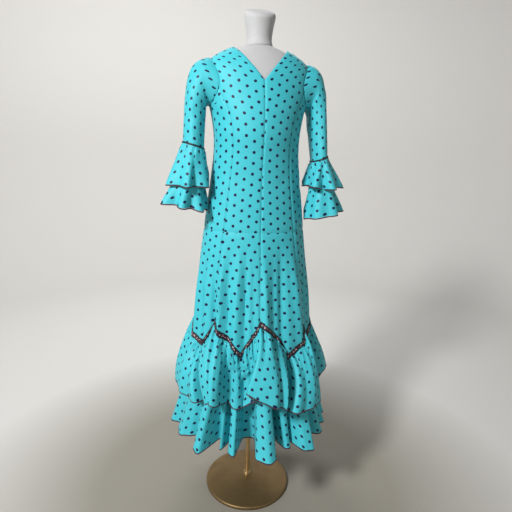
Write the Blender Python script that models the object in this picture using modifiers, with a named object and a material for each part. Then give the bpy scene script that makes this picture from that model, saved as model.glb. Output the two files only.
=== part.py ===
# Flamenco dress worn by a limbless dress form on a pole and a round base.
# Metres, +Z up. The front of the dress faces -Y. The origin is the middle of the base's underside.

import math
from bisect import bisect_right

import bpy
from mathutils import Vector

OBJECT_NAME = "flamenco_dress_on_form"

# Cloth and seams
CLOTH = 0.0014
SEAM_GAP = 0.0003
BINDING = 0.0020
BINDING_HEIGHT = 0.0045
LAYER = CLOTH + SEAM_GAP + 0.0007

# Stand
BASE_RADIUS = 0.155
BASE_EDGE = 0.010
BASE_CROWN = 0.014
POLE_RADIUS = 0.009
COLLAR_RADIUS = 0.0125
COLLAR_TOP = 0.026

# The bodice is sewn to the skirt's gores round the hips. The skirt ends under the upper flounce, at the lower one.
HIP_SEAM = 0.981
SKIRT_BOTTOM = 0.545
TRIM_HEIGHT = 0.019
TRIM_THICKNESS = 0.0026

# Half width and front and back depth of the worn dress at each height
BODY = [
    {"z": 0.545, "half": 0.209, "front": 0.170, "back": 0.176},
    {"z": 0.640, "half": 0.203, "front": 0.160, "back": 0.166},
    {"z": 0.740, "half": 0.195, "front": 0.146, "back": 0.153},
    {"z": 0.850, "half": 0.184, "front": 0.131, "back": 0.140},
    {"z": 0.960, "half": 0.170, "front": 0.120, "back": 0.130},
    {"z": 1.060, "half": 0.158, "front": 0.113, "back": 0.112},
    {"z": 1.150, "half": 0.146, "front": 0.110, "back": 0.096},
    {"z": 1.220, "half": 0.138, "front": 0.117, "back": 0.094},
    {"z": 1.280, "half": 0.138, "front": 0.127, "back": 0.099},
    {"z": 1.340, "half": 0.147, "front": 0.124, "back": 0.103},
    {"z": 1.385, "half": 0.159, "front": 0.115, "back": 0.105},
    {"z": 1.430, "half": 0.167, "front": 0.105, "back": 0.103},
    {"z": 1.470, "half": 0.167, "front": 0.093, "back": 0.098},
    {"z": 1.500, "half": 0.149, "front": 0.080, "back": 0.091},
    {"z": 1.520, "half": 0.119, "front": 0.068, "back": 0.081},
    {"z": 1.535, "half": 0.086, "front": 0.058, "back": 0.069},
]

# The armhole is an oval round the side of the body, in degrees and metres.
ARMHOLE = {"z": 1.4315, "rise": 0.0665, "sweep": 38.0}

# Angle of the princess seams from the middle of the front or of the back
PRINCESS = [
    {"z": 0.545, "front": 48.0, "back": 46.0},
    {"z": 0.850, "front": 45.0, "back": 44.0},
    {"z": 1.060, "front": 41.0, "back": 41.0},
    {"z": 1.220, "front": 39.5, "back": 40.0},
    {"z": 1.300, "front": 42.0, "back": 42.5},
    {"z": 1.360, "front": 47.0, "back": 47.0},
    {"z": 1.410, "front": 53.8, "back": 53.8},
]
PRINCESS_TOP = 1.405

# Angle of the neckline from the middle of the front or of the back
NECK_FRONT = [
    {"z": 1.4315, "angle": 0.0},
    {"z": 1.4706, "angle": 10.7},
    {"z": 1.4947, "angle": 19.3},
    {"z": 1.5090, "angle": 27.0},
    {"z": 1.5210, "angle": 37.7},
    {"z": 1.5320, "angle": 61.0},
]
NECK_BACK = [
    {"z": 1.5090, "angle": 0.0},
    {"z": 1.5210, "angle": 34.0},
    {"z": 1.5320, "angle": 60.0},
]

SKIRT_ROWS = [0.545, 0.640, 0.760, 0.880, HIP_SEAM - SEAM_GAP * 0.6]
SIDE_ROWS = [HIP_SEAM + SEAM_GAP * 0.6, 1.060, 1.150, 1.220, 1.280, 1.330, 1.365, 1.3683, 1.3777, 1.3924, 1.405]
CENTRE_ROWS = SIDE_ROWS + [1.4315, 1.452, 1.4706, 1.4853, 1.4947, 1.498, 1.509, 1.521, 1.532]
PANEL_COLUMNS = 5

# Soft upright folds in the skirt, by seam number, with their width in seam numbers
SKIRT_FOLDS = [
    {"at": 0.42, "width": 0.34, "depth": 0.006, "top": 1.00},
    {"at": -0.50, "width": 0.36, "depth": 0.004, "top": 0.98},
    {"at": 1.50, "width": 0.36, "depth": 0.005, "top": 0.96},
    {"at": -1.45, "width": 0.36, "depth": 0.006, "top": 1.00},
    {"at": 2.55, "width": 0.36, "depth": 0.006, "top": 0.98},
    {"at": -2.50, "width": 0.36, "depth": 0.005, "top": 1.00},
    {"at": 3.45, "width": 0.36, "depth": 0.007, "top": 1.02},
    {"at": -3.50, "width": 0.36, "depth": 0.006, "top": 0.98},
]

# Height of the zigzag trim's lower edge, by seam number. Its crests and points are marked as turns.
ZIGZAG = [
    {"at": -4.00, "z": 0.645, "turn": 1},
    {"at": -3.75, "z": 0.603, "turn": 0},
    {"at": -3.50, "z": 0.562, "turn": 1},
    {"at": -3.25, "z": 0.606, "turn": 0},
    {"at": -3.00, "z": 0.650, "turn": 1},
    {"at": -2.75, "z": 0.606, "turn": 0},
    {"at": -2.52, "z": 0.566, "turn": 1},
    {"at": -2.30, "z": 0.624, "turn": 0},
    {"at": -2.12, "z": 0.668, "turn": 1},
    {"at": -1.92, "z": 0.624, "turn": 0},
    {"at": -1.55, "z": 0.603, "turn": 0},
    {"at": -1.28, "z": 0.588, "turn": 1},
    {"at": -1.09, "z": 0.642, "turn": 0},
    {"at": -0.97, "z": 0.684, "turn": 1},
    {"at": -0.88, "z": 0.658, "turn": 0},
    {"at": -0.59, "z": 0.624, "turn": 0},
    {"at": -0.37, "z": 0.582, "turn": 1},
    {"at": -0.23, "z": 0.622, "turn": 0},
    {"at": -0.08, "z": 0.658, "turn": 0},
    {"at": 0.00, "z": 0.686, "turn": 1},
    {"at": 0.19, "z": 0.661, "turn": 0},
    {"at": 0.50, "z": 0.611, "turn": 0},
    {"at": 0.60, "z": 0.565, "turn": 1},
    {"at": 0.78, "z": 0.582, "turn": 0},
    {"at": 1.00, "z": 0.600, "turn": 0},
    {"at": 1.12, "z": 0.648, "turn": 1},
    {"at": 1.26, "z": 0.616, "turn": 0},
    {"at": 1.48, "z": 0.592, "turn": 1},
    {"at": 1.76, "z": 0.630, "turn": 0},
    {"at": 1.96, "z": 0.670, "turn": 1},
    {"at": 2.24, "z": 0.616, "turn": 0},
    {"at": 2.50, "z": 0.570, "turn": 1},
    {"at": 2.75, "z": 0.610, "turn": 0},
    {"at": 3.00, "z": 0.650, "turn": 1},
    {"at": 3.26, "z": 0.606, "turn": 0},
    {"at": 3.50, "z": 0.562, "turn": 1},
    {"at": 3.76, "z": 0.602, "turn": 0},
    {"at": 4.00, "z": 0.645, "turn": 1},
]

# Flounces hang from a top line to a mean hem oval. Each row of a fold table is a crest or a hollow.
UPPER_FLOUNCE = {
    "half": 0.262, "front": 0.237, "back": 0.246, "z": 0.458, "rows": 4, "swell": 2.3, "bulge": 0.10, "samples": 3,
}
UPPER_FOLDS = [
    {"at": -2.12, "out": 0.006, "lean": 0.06, "rise": -0.014},
    {"at": -1.80, "out": -0.002, "lean": 0.02, "rise": -0.018},
    {"at": -1.48, "out": 0.008, "lean": 0.00, "rise": -0.018},
    {"at": -1.28, "out": 0.000, "lean": 0.06, "rise": -0.016},
    {"at": -1.10, "out": -0.022, "lean": 0.06, "rise": -0.008},
    {"at": -0.97, "out": 0.006, "lean": 0.06, "rise": 0.010},
    {"at": -0.78, "out": 0.010, "lean": 0.03, "rise": 0.006},
    {"at": -0.66, "out": 0.006, "lean": 0.02, "rise": 0.002},
    {"at": -0.56, "out": -0.024, "lean": 0.02, "rise": -0.012},
    {"at": -0.46, "out": -0.014, "lean": 0.02, "rise": -0.026},
    {"at": -0.36, "out": -0.030, "lean": 0.02, "rise": -0.028},
    {"at": -0.18, "out": -0.038, "lean": 0.04, "rise": -0.008},
    {"at": -0.12, "out": -0.022, "lean": 0.01, "rise": 0.004},
    {"at": -0.05, "out": -0.006, "lean": -0.19, "rise": 0.048},
    {"at": 0.01, "out": 0.010, "lean": -0.25, "rise": 0.056},
    {"at": 0.10, "out": 0.022, "lean": -0.12, "rise": 0.034},
    {"at": 0.26, "out": 0.038, "lean": -0.04, "rise": 0.008},
    {"at": 0.44, "out": 0.036, "lean": -0.14, "rise": -0.006},
    {"at": 0.56, "out": 0.012, "lean": -0.20, "rise": -0.012},
    {"at": 0.70, "out": 0.038, "lean": -0.24, "rise": -0.022},
    {"at": 0.90, "out": 0.034, "lean": -0.20, "rise": -0.028},
    {"at": 1.12, "out": 0.028, "lean": -0.18, "rise": -0.028},
    {"at": 1.30, "out": -0.008, "lean": -0.14, "rise": -0.014},
    {"at": 1.52, "out": -0.024, "lean": -0.06, "rise": 0.000},
    {"at": 1.76, "out": 0.014, "lean": 0.00, "rise": 0.016},
    {"at": 2.00, "out": 0.028, "lean": 0.00, "rise": 0.008},
    {"at": 2.26, "out": 0.000, "lean": 0.00, "rise": -0.016},
    {"at": 2.50, "out": -0.020, "lean": 0.00, "rise": -0.028},
    {"at": 2.76, "out": 0.008, "lean": 0.00, "rise": -0.016},
    {"at": 3.00, "out": 0.026, "lean": 0.00, "rise": 0.004},
    {"at": 3.24, "out": 0.000, "lean": 0.00, "rise": -0.018},
    {"at": 3.50, "out": -0.020, "lean": 0.00, "rise": -0.030},
    {"at": 3.78, "out": 0.010, "lean": 0.00, "rise": -0.016},
    {"at": 4.00, "out": 0.024, "lean": 0.00, "rise": 0.004},
    {"at": 4.27, "out": 0.002, "lean": 0.00, "rise": -0.020},
    {"at": 4.50, "out": -0.020, "lean": 0.00, "rise": -0.030},
    {"at": 4.74, "out": 0.008, "lean": 0.00, "rise": -0.018},
    {"at": 5.00, "out": 0.024, "lean": 0.00, "rise": 0.000},
    {"at": 5.26, "out": 0.000, "lean": 0.00, "rise": -0.020},
    {"at": 5.48, "out": -0.018, "lean": 0.00, "rise": -0.032},
    {"at": 5.68, "out": 0.000, "lean": 0.02, "rise": -0.024},
]
LOWER_FLOUNCE = {
    "half": 0.264, "front": 0.236, "back": 0.246, "z": 0.290, "rows": 3, "swell": 1.15, "bulge": 0.0, "samples": 2,
}
LOWER_FOLDS = [
    {"at": -1.96, "out": 0.019, "lean": 0.00, "rise": 0.000},
    {"at": -1.80, "out": -0.010, "lean": 0.00, "rise": 0.002},
    {"at": -1.62, "out": 0.004, "lean": 0.00, "rise": 0.000},
    {"at": -1.40, "out": 0.012, "lean": 0.00, "rise": -0.003},
    {"at": -1.25, "out": 0.002, "lean": 0.00, "rise": 0.000},
    {"at": -1.12, "out": -0.016, "lean": 0.00, "rise": 0.002},
    {"at": -0.97, "out": 0.022, "lean": 0.00, "rise": -0.002},
    {"at": -0.88, "out": 0.032, "lean": 0.00, "rise": -0.004},
    {"at": -0.79, "out": -0.018, "lean": 0.00, "rise": 0.002},
    {"at": -0.68, "out": -0.012, "lean": 0.00, "rise": 0.000},
    {"at": -0.60, "out": -0.009, "lean": 0.00, "rise": 0.000},
    {"at": -0.53, "out": -0.030, "lean": 0.00, "rise": 0.002},
    {"at": -0.46, "out": 0.000, "lean": 0.00, "rise": -0.002},
    {"at": -0.38, "out": 0.004, "lean": 0.00, "rise": -0.002},
    {"at": -0.29, "out": -0.050, "lean": 0.00, "rise": 0.003},
    {"at": -0.13, "out": -0.038, "lean": 0.00, "rise": 0.000},
    {"at": -0.04, "out": -0.050, "lean": 0.01, "rise": 0.003},
    {"at": 0.01, "out": 0.034, "lean": -0.03, "rise": -0.002},
    {"at": 0.10, "out": 0.046, "lean": -0.01, "rise": -0.004},
    {"at": 0.17, "out": 0.034, "lean": 0.00, "rise": -0.002},
    {"at": 0.22, "out": -0.030, "lean": 0.00, "rise": 0.003},
    {"at": 0.32, "out": -0.044, "lean": 0.00, "rise": 0.003},
    {"at": 0.41, "out": 0.000, "lean": 0.00, "rise": 0.000},
    {"at": 0.48, "out": -0.002, "lean": 0.00, "rise": 0.000},
    {"at": 0.54, "out": -0.026, "lean": 0.00, "rise": 0.003},
    {"at": 0.60, "out": 0.042, "lean": -0.03, "rise": -0.002},
    {"at": 0.72, "out": 0.050, "lean": 0.00, "rise": -0.003},
    {"at": 0.83, "out": -0.002, "lean": 0.00, "rise": 0.003},
    {"at": 0.94, "out": 0.000, "lean": 0.00, "rise": 0.003},
    {"at": 1.06, "out": 0.026, "lean": 0.00, "rise": 0.000},
    {"at": 1.18, "out": 0.020, "lean": 0.00, "rise": 0.000},
    {"at": 1.31, "out": -0.016, "lean": 0.00, "rise": 0.003},
    {"at": 1.48, "out": 0.018, "lean": 0.00, "rise": -0.002},
    {"at": 1.65, "out": -0.014, "lean": 0.00, "rise": 0.002},
    {"at": 1.82, "out": 0.018, "lean": 0.00, "rise": 0.000},
    {"at": 2.02, "out": -0.014, "lean": 0.00, "rise": 0.002},
    {"at": 2.22, "out": 0.018, "lean": 0.00, "rise": -0.002},
    {"at": 2.44, "out": -0.018, "lean": 0.00, "rise": 0.003},
    {"at": 2.66, "out": 0.024, "lean": 0.00, "rise": -0.004},
    {"at": 2.88, "out": -0.020, "lean": 0.00, "rise": 0.002},
    {"at": 3.10, "out": 0.022, "lean": 0.00, "rise": -0.004},
    {"at": 3.34, "out": -0.022, "lean": 0.00, "rise": 0.003},
    {"at": 3.58, "out": 0.024, "lean": 0.00, "rise": -0.004},
    {"at": 3.80, "out": -0.018, "lean": 0.00, "rise": 0.002},
    {"at": 4.03, "out": 0.026, "lean": 0.00, "rise": -0.005},
    {"at": 4.26, "out": -0.020, "lean": 0.00, "rise": 0.003},
    {"at": 4.50, "out": 0.018, "lean": 0.00, "rise": -0.003},
    {"at": 4.74, "out": -0.022, "lean": 0.00, "rise": 0.002},
    {"at": 4.98, "out": 0.026, "lean": 0.00, "rise": -0.005},
    {"at": 5.22, "out": -0.018, "lean": 0.00, "rise": 0.003},
    {"at": 5.45, "out": 0.020, "lean": 0.00, "rise": -0.003},
    {"at": 5.66, "out": -0.014, "lean": 0.00, "rise": 0.002},
    {"at": 5.84, "out": 0.010, "lean": 0.00, "rise": 0.000},
]
# Each sleeve ring runs from a point by the body to a point on the outside, with its depth and place front to back.
# The first row after the armhole is the sleeve head, and the last is the sleeve's own hem under the ruffles.
RIGHT_RINGS = [
    {"in_x": 0.1600, "in_z": 1.3620, "out_x": 0.1800, "out_z": 1.4940, "depth": 0.060, "y": 0.000},
    {"in_x": 0.1630, "in_z": 1.3520, "out_x": 0.2060, "out_z": 1.4720, "depth": 0.056, "y": -0.002},
    {"in_x": 0.1650, "in_z": 1.3300, "out_x": 0.2205, "out_z": 1.4320, "depth": 0.052, "y": -0.004},
    {"in_x": 0.1670, "in_z": 1.2980, "out_x": 0.2285, "out_z": 1.3700, "depth": 0.049, "y": -0.008},
    {"in_x": 0.1690, "in_z": 1.2620, "out_x": 0.2325, "out_z": 1.3000, "depth": 0.047, "y": -0.012},
    {"in_x": 0.1710, "in_z": 1.2285, "out_x": 0.2350, "out_z": 1.2450, "depth": 0.046, "y": -0.016},
    {"in_x": 0.1800, "in_z": 1.1600, "out_x": 0.2350, "out_z": 1.1750, "depth": 0.040, "y": -0.024},
]
LEFT_RINGS = [
    {"in_x": 0.1600, "in_z": 1.3620, "out_x": 0.1800, "out_z": 1.4940, "depth": 0.060, "y": 0.000},
    {"in_x": 0.1640, "in_z": 1.3500, "out_x": 0.2030, "out_z": 1.4700, "depth": 0.056, "y": -0.002},
    {"in_x": 0.1670, "in_z": 1.3250, "out_x": 0.2155, "out_z": 1.4280, "depth": 0.053, "y": -0.004},
    {"in_x": 0.1710, "in_z": 1.2900, "out_x": 0.2225, "out_z": 1.3600, "depth": 0.051, "y": -0.008},
    {"in_x": 0.1780, "in_z": 1.2450, "out_x": 0.2280, "out_z": 1.2850, "depth": 0.050, "y": -0.012},
    {"in_x": 0.1850, "in_z": 1.2000, "out_x": 0.2320, "out_z": 1.2170, "depth": 0.049, "y": -0.016},
    {"in_x": 0.1900, "in_z": 1.1500, "out_x": 0.2330, "out_z": 1.1620, "depth": 0.042, "y": -0.024},
]
SLEEVE_COLUMNS = 20
SLEEVE_LAP = 0.002
ELBOW_RING = 6
ELBOW_TRIM_SPAN = 0.13
RUFFLE_ROWS = 3
RUFFLE_SAMPLES = 3

RIGHT_UPPER_HEM = {"in_x": 0.1490, "in_z": 1.1180, "out_x": 0.2790, "out_z": 1.1220, "depth": 0.064, "y": -0.028}
RIGHT_LOWER_HEM = {"in_x": 0.1570, "in_z": 1.0440, "out_x": 0.2960, "out_z": 1.0660, "depth": 0.064, "y": -0.030}
LEFT_UPPER_HEM = {"in_x": 0.1570, "in_z": 1.1260, "out_x": 0.2800, "out_z": 1.1220, "depth": 0.066, "y": -0.024}
LEFT_LOWER_HEM = {"in_x": 0.1640, "in_z": 1.0190, "out_x": 0.2850, "out_z": 1.0440, "depth": 0.060, "y": -0.028}

# Folds of the sleeve ruffles, in degrees: 0 is the front of the sleeve and 90 its outside.
RIGHT_UPPER_FOLDS = [
    {"at": -168, "out": 0.006, "lean": 0.0, "rise": -0.002},
    {"at": -138, "out": -0.007, "lean": 0.0, "rise": 0.002},
    {"at": -106, "out": 0.004, "lean": 0.0, "rise": 0.000},
    {"at": -76, "out": -0.005, "lean": 0.0, "rise": 0.002},
    {"at": -44, "out": 0.005, "lean": 0.0, "rise": 0.000},
    {"at": -14, "out": -0.005, "lean": 0.0, "rise": 0.002},
    {"at": 12, "out": 0.006, "lean": 0.0, "rise": -0.002},
    {"at": 38, "out": -0.005, "lean": 0.0, "rise": 0.002},
    {"at": 72, "out": 0.007, "lean": 0.0, "rise": 0.000},
    {"at": 106, "out": -0.005, "lean": 0.0, "rise": 0.002},
    {"at": 136, "out": 0.006, "lean": 0.0, "rise": -0.002},
    {"at": 164, "out": -0.006, "lean": 0.0, "rise": 0.002},
]
RIGHT_LOWER_FOLDS = [
    {"at": -160, "out": 0.007, "lean": 0.0, "rise": -0.002},
    {"at": -128, "out": -0.007, "lean": 0.0, "rise": 0.002},
    {"at": -98, "out": 0.004, "lean": 0.0, "rise": 0.000},
    {"at": -66, "out": -0.006, "lean": 0.0, "rise": 0.003},
    {"at": -34, "out": 0.006, "lean": 0.0, "rise": -0.003},
    {"at": -12, "out": -0.006, "lean": 0.0, "rise": 0.002},
    {"at": 10, "out": 0.008, "lean": 0.0, "rise": -0.002},
    {"at": 36, "out": -0.008, "lean": 0.0, "rise": 0.004},
    {"at": 66, "out": 0.008, "lean": 0.0, "rise": -0.002},
    {"at": 102, "out": -0.008, "lean": 0.0, "rise": 0.002},
    {"at": 134, "out": 0.007, "lean": 0.0, "rise": -0.002},
    {"at": 166, "out": -0.007, "lean": 0.0, "rise": 0.002},
]
LEFT_UPPER_FOLDS = [
    {"at": -166, "out": 0.006, "lean": 0.0, "rise": -0.002},
    {"at": -134, "out": -0.007, "lean": 0.0, "rise": 0.002},
    {"at": -100, "out": 0.004, "lean": 0.0, "rise": 0.000},
    {"at": -70, "out": -0.005, "lean": 0.0, "rise": 0.004},
    {"at": -40, "out": 0.008, "lean": 0.0, "rise": 0.000},
    {"at": -12, "out": -0.008, "lean": 0.0, "rise": -0.006},
    {"at": 16, "out": 0.008, "lean": 0.0, "rise": -0.004},
    {"at": 44, "out": -0.004, "lean": 0.0, "rise": 0.004},
    {"at": 78, "out": 0.007, "lean": 0.0, "rise": 0.002},
    {"at": 110, "out": -0.008, "lean": 0.0, "rise": 0.002},
    {"at": 140, "out": 0.006, "lean": 0.0, "rise": -0.002},
    {"at": 168, "out": -0.006, "lean": 0.0, "rise": 0.002},
]
LEFT_LOWER_FOLDS = [
    {"at": -158, "out": 0.007, "lean": 0.0, "rise": -0.002},
    {"at": -126, "out": -0.007, "lean": 0.0, "rise": 0.002},
    {"at": -92, "out": 0.004, "lean": 0.0, "rise": 0.000},
    {"at": -62, "out": -0.003, "lean": 0.0, "rise": 0.001},
    {"at": -30, "out": 0.003, "lean": 0.0, "rise": 0.000},
    {"at": 0, "out": -0.002, "lean": 0.0, "rise": 0.000},
    {"at": 26, "out": 0.006, "lean": 0.0, "rise": -0.001},
    {"at": 54, "out": -0.008, "lean": 0.0, "rise": 0.004},
    {"at": 84, "out": 0.008, "lean": 0.0, "rise": 0.000},
    {"at": 114, "out": -0.008, "lean": 0.0, "rise": 0.002},
    {"at": 142, "out": 0.007, "lean": 0.0, "rise": -0.002},
    {"at": 170, "out": -0.006, "lean": 0.0, "rise": 0.002},
]

# Dress form
FORM = [
    {"z": 0.792, "half": 0.132, "front": 0.078, "back": 0.084},
    {"z": 0.800, "half": 0.150, "front": 0.093, "back": 0.100},
    {"z": 0.840, "half": 0.160, "front": 0.104, "back": 0.112},
    {"z": 0.950, "half": 0.161, "front": 0.109, "back": 0.118},
    {"z": 1.060, "half": 0.143, "front": 0.101, "back": 0.101},
    {"z": 1.150, "half": 0.122, "front": 0.092, "back": 0.083},
    {"z": 1.220, "half": 0.126, "front": 0.104, "back": 0.084},
    {"z": 1.280, "half": 0.131, "front": 0.120, "back": 0.092},
    {"z": 1.340, "half": 0.139, "front": 0.117, "back": 0.096},
    {"z": 1.385, "half": 0.150, "front": 0.108, "back": 0.098},
    {"z": 1.430, "half": 0.158, "front": 0.098, "back": 0.096},
    {"z": 1.470, "half": 0.157, "front": 0.086, "back": 0.091},
    {"z": 1.498, "half": 0.138, "front": 0.072, "back": 0.083},
    {"z": 1.518, "half": 0.108, "front": 0.060, "back": 0.073},
    {"z": 1.533, "half": 0.074, "front": 0.049, "back": 0.060},
    {"z": 1.541, "half": 0.050, "front": 0.042, "back": 0.050},
]
FORM_COLUMNS = 24
NECK = [
    {"z": 1.5413, "radius": 0.0400},
    {"z": 1.5440, "radius": 0.0430},
    {"z": 1.5620, "radius": 0.0390},
    {"z": 1.5850, "radius": 0.0405},
    {"z": 1.6080, "radius": 0.0445},
    {"z": 1.6300, "radius": 0.0485},
    {"z": 1.6390, "radius": 0.0475},
    {"z": 1.6450, "radius": 0.0435},
    {"z": 1.6475, "radius": 0.0360},
]
NECK_CENTRE_Y = 0.004
NECK_TOP_TILT = 0.42


def ramp(rows, key, column, x):
    """Smooth value of a table's column at x, flat beyond its ends."""
    marks = [row[key] for row in rows]
    if x <= marks[0]:
        return rows[0][column]
    if x >= marks[-1]:
        return rows[-1][column]
    k = bisect_right(marks, x) - 1
    span = marks[k + 1] - marks[k]
    f = (x - marks[k]) / span
    values = [row[column] for row in rows]

    def slope(n):
        low = max(n - 1, 0)
        high = min(n + 1, len(rows) - 1)
        return (values[high] - values[low]) / (marks[high] - marks[low])

    a = values[k]
    b = values[k + 1]
    return (
        a * (2 * f**3 - 3 * f**2 + 1)
        + b * (3 * f**2 - 2 * f**3)
        + slope(k) * span * (f**3 - 2 * f**2 + f)
        + slope(k + 1) * span * (f**3 - f**2)
    )


def line(rows, key, column, x):
    """Straight-line value of a table's column at x, flat beyond its ends."""
    marks = [row[key] for row in rows]
    if x <= marks[0]:
        return rows[0][column]
    if x >= marks[-1]:
        return rows[-1][column]
    k = bisect_right(marks, x) - 1
    f = (x - marks[k]) / (marks[k + 1] - marks[k])
    return rows[k][column] * (1 - f) + rows[k + 1][column] * f


def oval(half, front, back, degrees, z):
    """Point of an oval with its own front and back depths. 0 degrees is the front, 90 the +X side."""
    t = math.radians(degrees)
    depth = front if math.cos(t) > 0 else back
    return Vector((half * math.sin(t), -depth * math.cos(t), z))


def seam_angle(seam, z):
    """Angle round the body of a whole or fractional seam number: 0 is the middle of the front, 2 the +X side."""
    front = ramp(PRINCESS, "z", "front", z)
    back = ramp(PRINCESS, "z", "back", z)
    turns = math.floor((seam + 4) / 8)
    seam -= 8 * turns
    angles = [-180, back - 180, -90, -front, 0, front, 90, 180 - back, 180]
    k = min(int(seam + 4), 7)
    f = seam + 4 - k
    return 360 * turns + angles[k] * (1 - f) + angles[k + 1] * f


def fold_depth(seam, z):
    """How far the skirt's upright folds pull its surface in."""
    total = 0.0
    for fold in SKIRT_FOLDS:
        away = (seam - fold["at"] + 4) % 8 - 4
        if abs(away) < fold["width"] and z < fold["top"]:
            fade = min(1.0, (fold["top"] - z) / 0.35)
            total += fold["depth"] * fade * 0.5 * (1 + math.cos(math.pi * away / fold["width"]))
    return total


def body_point(degrees, z, seam=None):
    """Point of the dress's body surface."""
    half = ramp(BODY, "z", "half", z)
    front = ramp(BODY, "z", "front", z)
    back = ramp(BODY, "z", "back", z)
    point = oval(half, front, back, degrees, z)
    if seam is not None:
        flat = Vector((point.x, point.y, 0))
        point -= flat.normalized() * fold_depth(seam, z)
    return point


def body_normal(degrees, z):
    """Outward direction of the dress's body surface."""
    step = 0.002
    across = body_point(degrees + 1, z) - body_point(degrees - 1, z)
    upward = body_point(degrees, z + step) - body_point(degrees, z - step)
    return across.cross(upward).normalized()


def armhole_angle(z):
    """Angle from the middle of the front or back at which the armhole's edge lies."""
    away = (z - ARMHOLE["z"]) / ARMHOLE["rise"]
    if abs(away) >= 1:
        return 90.0
    return 90 - ARMHOLE["sweep"] * math.sqrt(1 - away * away)


def collection_named(name):
    found = bpy.data.collections.new(name)
    bpy.context.scene.collection.children.link(found)
    return found


def material_named(name, colour, roughness, metallic=0.0):
    found = bpy.data.materials.new(name)
    found.use_nodes = True
    shader = found.node_tree.nodes["Principled BSDF"]
    shader.inputs["Base Color"].default_value = (*colour, 1)
    shader.inputs["Roughness"].default_value = roughness
    shader.inputs["Metallic"].default_value = metallic
    found.diffuse_color = (*colour, 1)
    return found


def solid_from(name, points, faces, material, wall=0.0):
    """Object of hand-lofted faces. An open sheet gets its wall from Solidify."""
    mesh = bpy.data.meshes.new(name)
    mesh.from_pydata([tuple(p) for p in points], [], faces)
    mesh.shade_smooth()
    mesh.set_sharp_from_angle(angle=math.radians(40))
    mesh.materials.append(material)
    made = bpy.data.objects.new(name, mesh)
    parts.objects.link(made)
    if wall:
        shell = made.modifiers.new("wall", "SOLIDIFY")
        shell.thickness = wall
        shell.offset = 0
        shell.use_even_offset = False
    return made


def sheet(name, rows, closed, material, wall):
    """Cloth lofted through rows of points, from the lowest row up, with outside faces outwards."""
    columns = len(rows[0])
    points = [p for row in rows for p in row]
    faces = []
    for r in range(len(rows) - 1):
        for c in range(columns if closed else columns - 1):
            d = (c + 1) % columns
            faces.append((r * columns + c, r * columns + d, (r + 1) * columns + d, (r + 1) * columns + c))
    return solid_from(name, points, faces, material, wall)


def closed_loft(name, rows, material):
    """Solid lofted through closed rows, from the lowest up, with flat ends."""
    columns = len(rows[0])
    points = [p for row in rows for p in row]
    faces = [tuple(reversed(range(columns)))]
    for r in range(len(rows) - 1):
        for c in range(columns):
            d = (c + 1) % columns
            faces.append((r * columns + c, r * columns + d, (r + 1) * columns + d, (r + 1) * columns + c))
    top = (len(rows) - 1) * columns
    faces.append(tuple(top + c for c in range(columns)))
    return solid_from(name, points, faces, material)


def turned(name, profile, steps, material):
    """Turned solid. The profile is (radius, height) from its top down its outer side, both ends on the axis."""
    mesh = bpy.data.meshes.new(name)
    edges = [(k, k + 1) for k in range(len(profile) - 1)]
    mesh.from_pydata([(radius, 0, height) for radius, height in profile], edges, [])
    mesh.materials.append(material)
    made = bpy.data.objects.new(name, mesh)
    parts.objects.link(made)
    spin = made.modifiers.new("turn", "SCREW")
    spin.axis = "Z"
    spin.steps = steps
    spin.render_steps = steps
    spin.use_merge_vertices = True
    spin.merge_threshold = 0.00005
    spin.use_smooth_shade = True
    return made


def skirt_point(seam, z, out=0.0):
    """Point on the flat facets of the skirt panels, moved out from them."""
    low = min(bisect_right(SKIRT_ROWS, z) - 1, len(SKIRT_ROWS) - 2)
    up = (z - SKIRT_ROWS[low]) / (SKIRT_ROWS[low + 1] - SKIRT_ROWS[low])
    column = math.floor(seam * PANEL_COLUMNS + 1e-9)
    across = seam * PANEL_COLUMNS - column

    def corner(k, row):
        mark = k / PANEL_COLUMNS
        level = SKIRT_ROWS[row]
        return body_point(seam_angle(mark, level), level, mark)

    lower = corner(column, low).lerp(corner(column + 1, low), across)
    upper = corner(column, low + 1).lerp(corner(column + 1, low + 1), across)
    point = lower.lerp(upper, up)
    return point + body_normal(seam_angle(seam, z), z) * out


def make_panel(name, side, rows, left, right, seams):
    """One panel of the dress between two seams. side is 1 for +X and -1 for its mirror on the -X side."""
    grid = []
    for z in rows:
        start = left(z)
        end = right(z)
        row = []
        for c in range(PANEL_COLUMNS + 1):
            f = c / PANEL_COLUMNS
            seam = seams[0] * (1 - f) + seams[1] * f
            point = body_point(side * (start * (1 - f) + end * f), z, side * seam)
            row.append(point)
        first = (row[1] - row[0]).normalized()
        last = (row[-2] - row[-1]).normalized()
        row[0] += first * SEAM_GAP * 0.6
        row[-1] += last * SEAM_GAP * 0.6
        grid.append(row if side > 0 else row[::-1])
    sheet(name, grid, False, dress_cloth, CLOTH)


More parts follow.
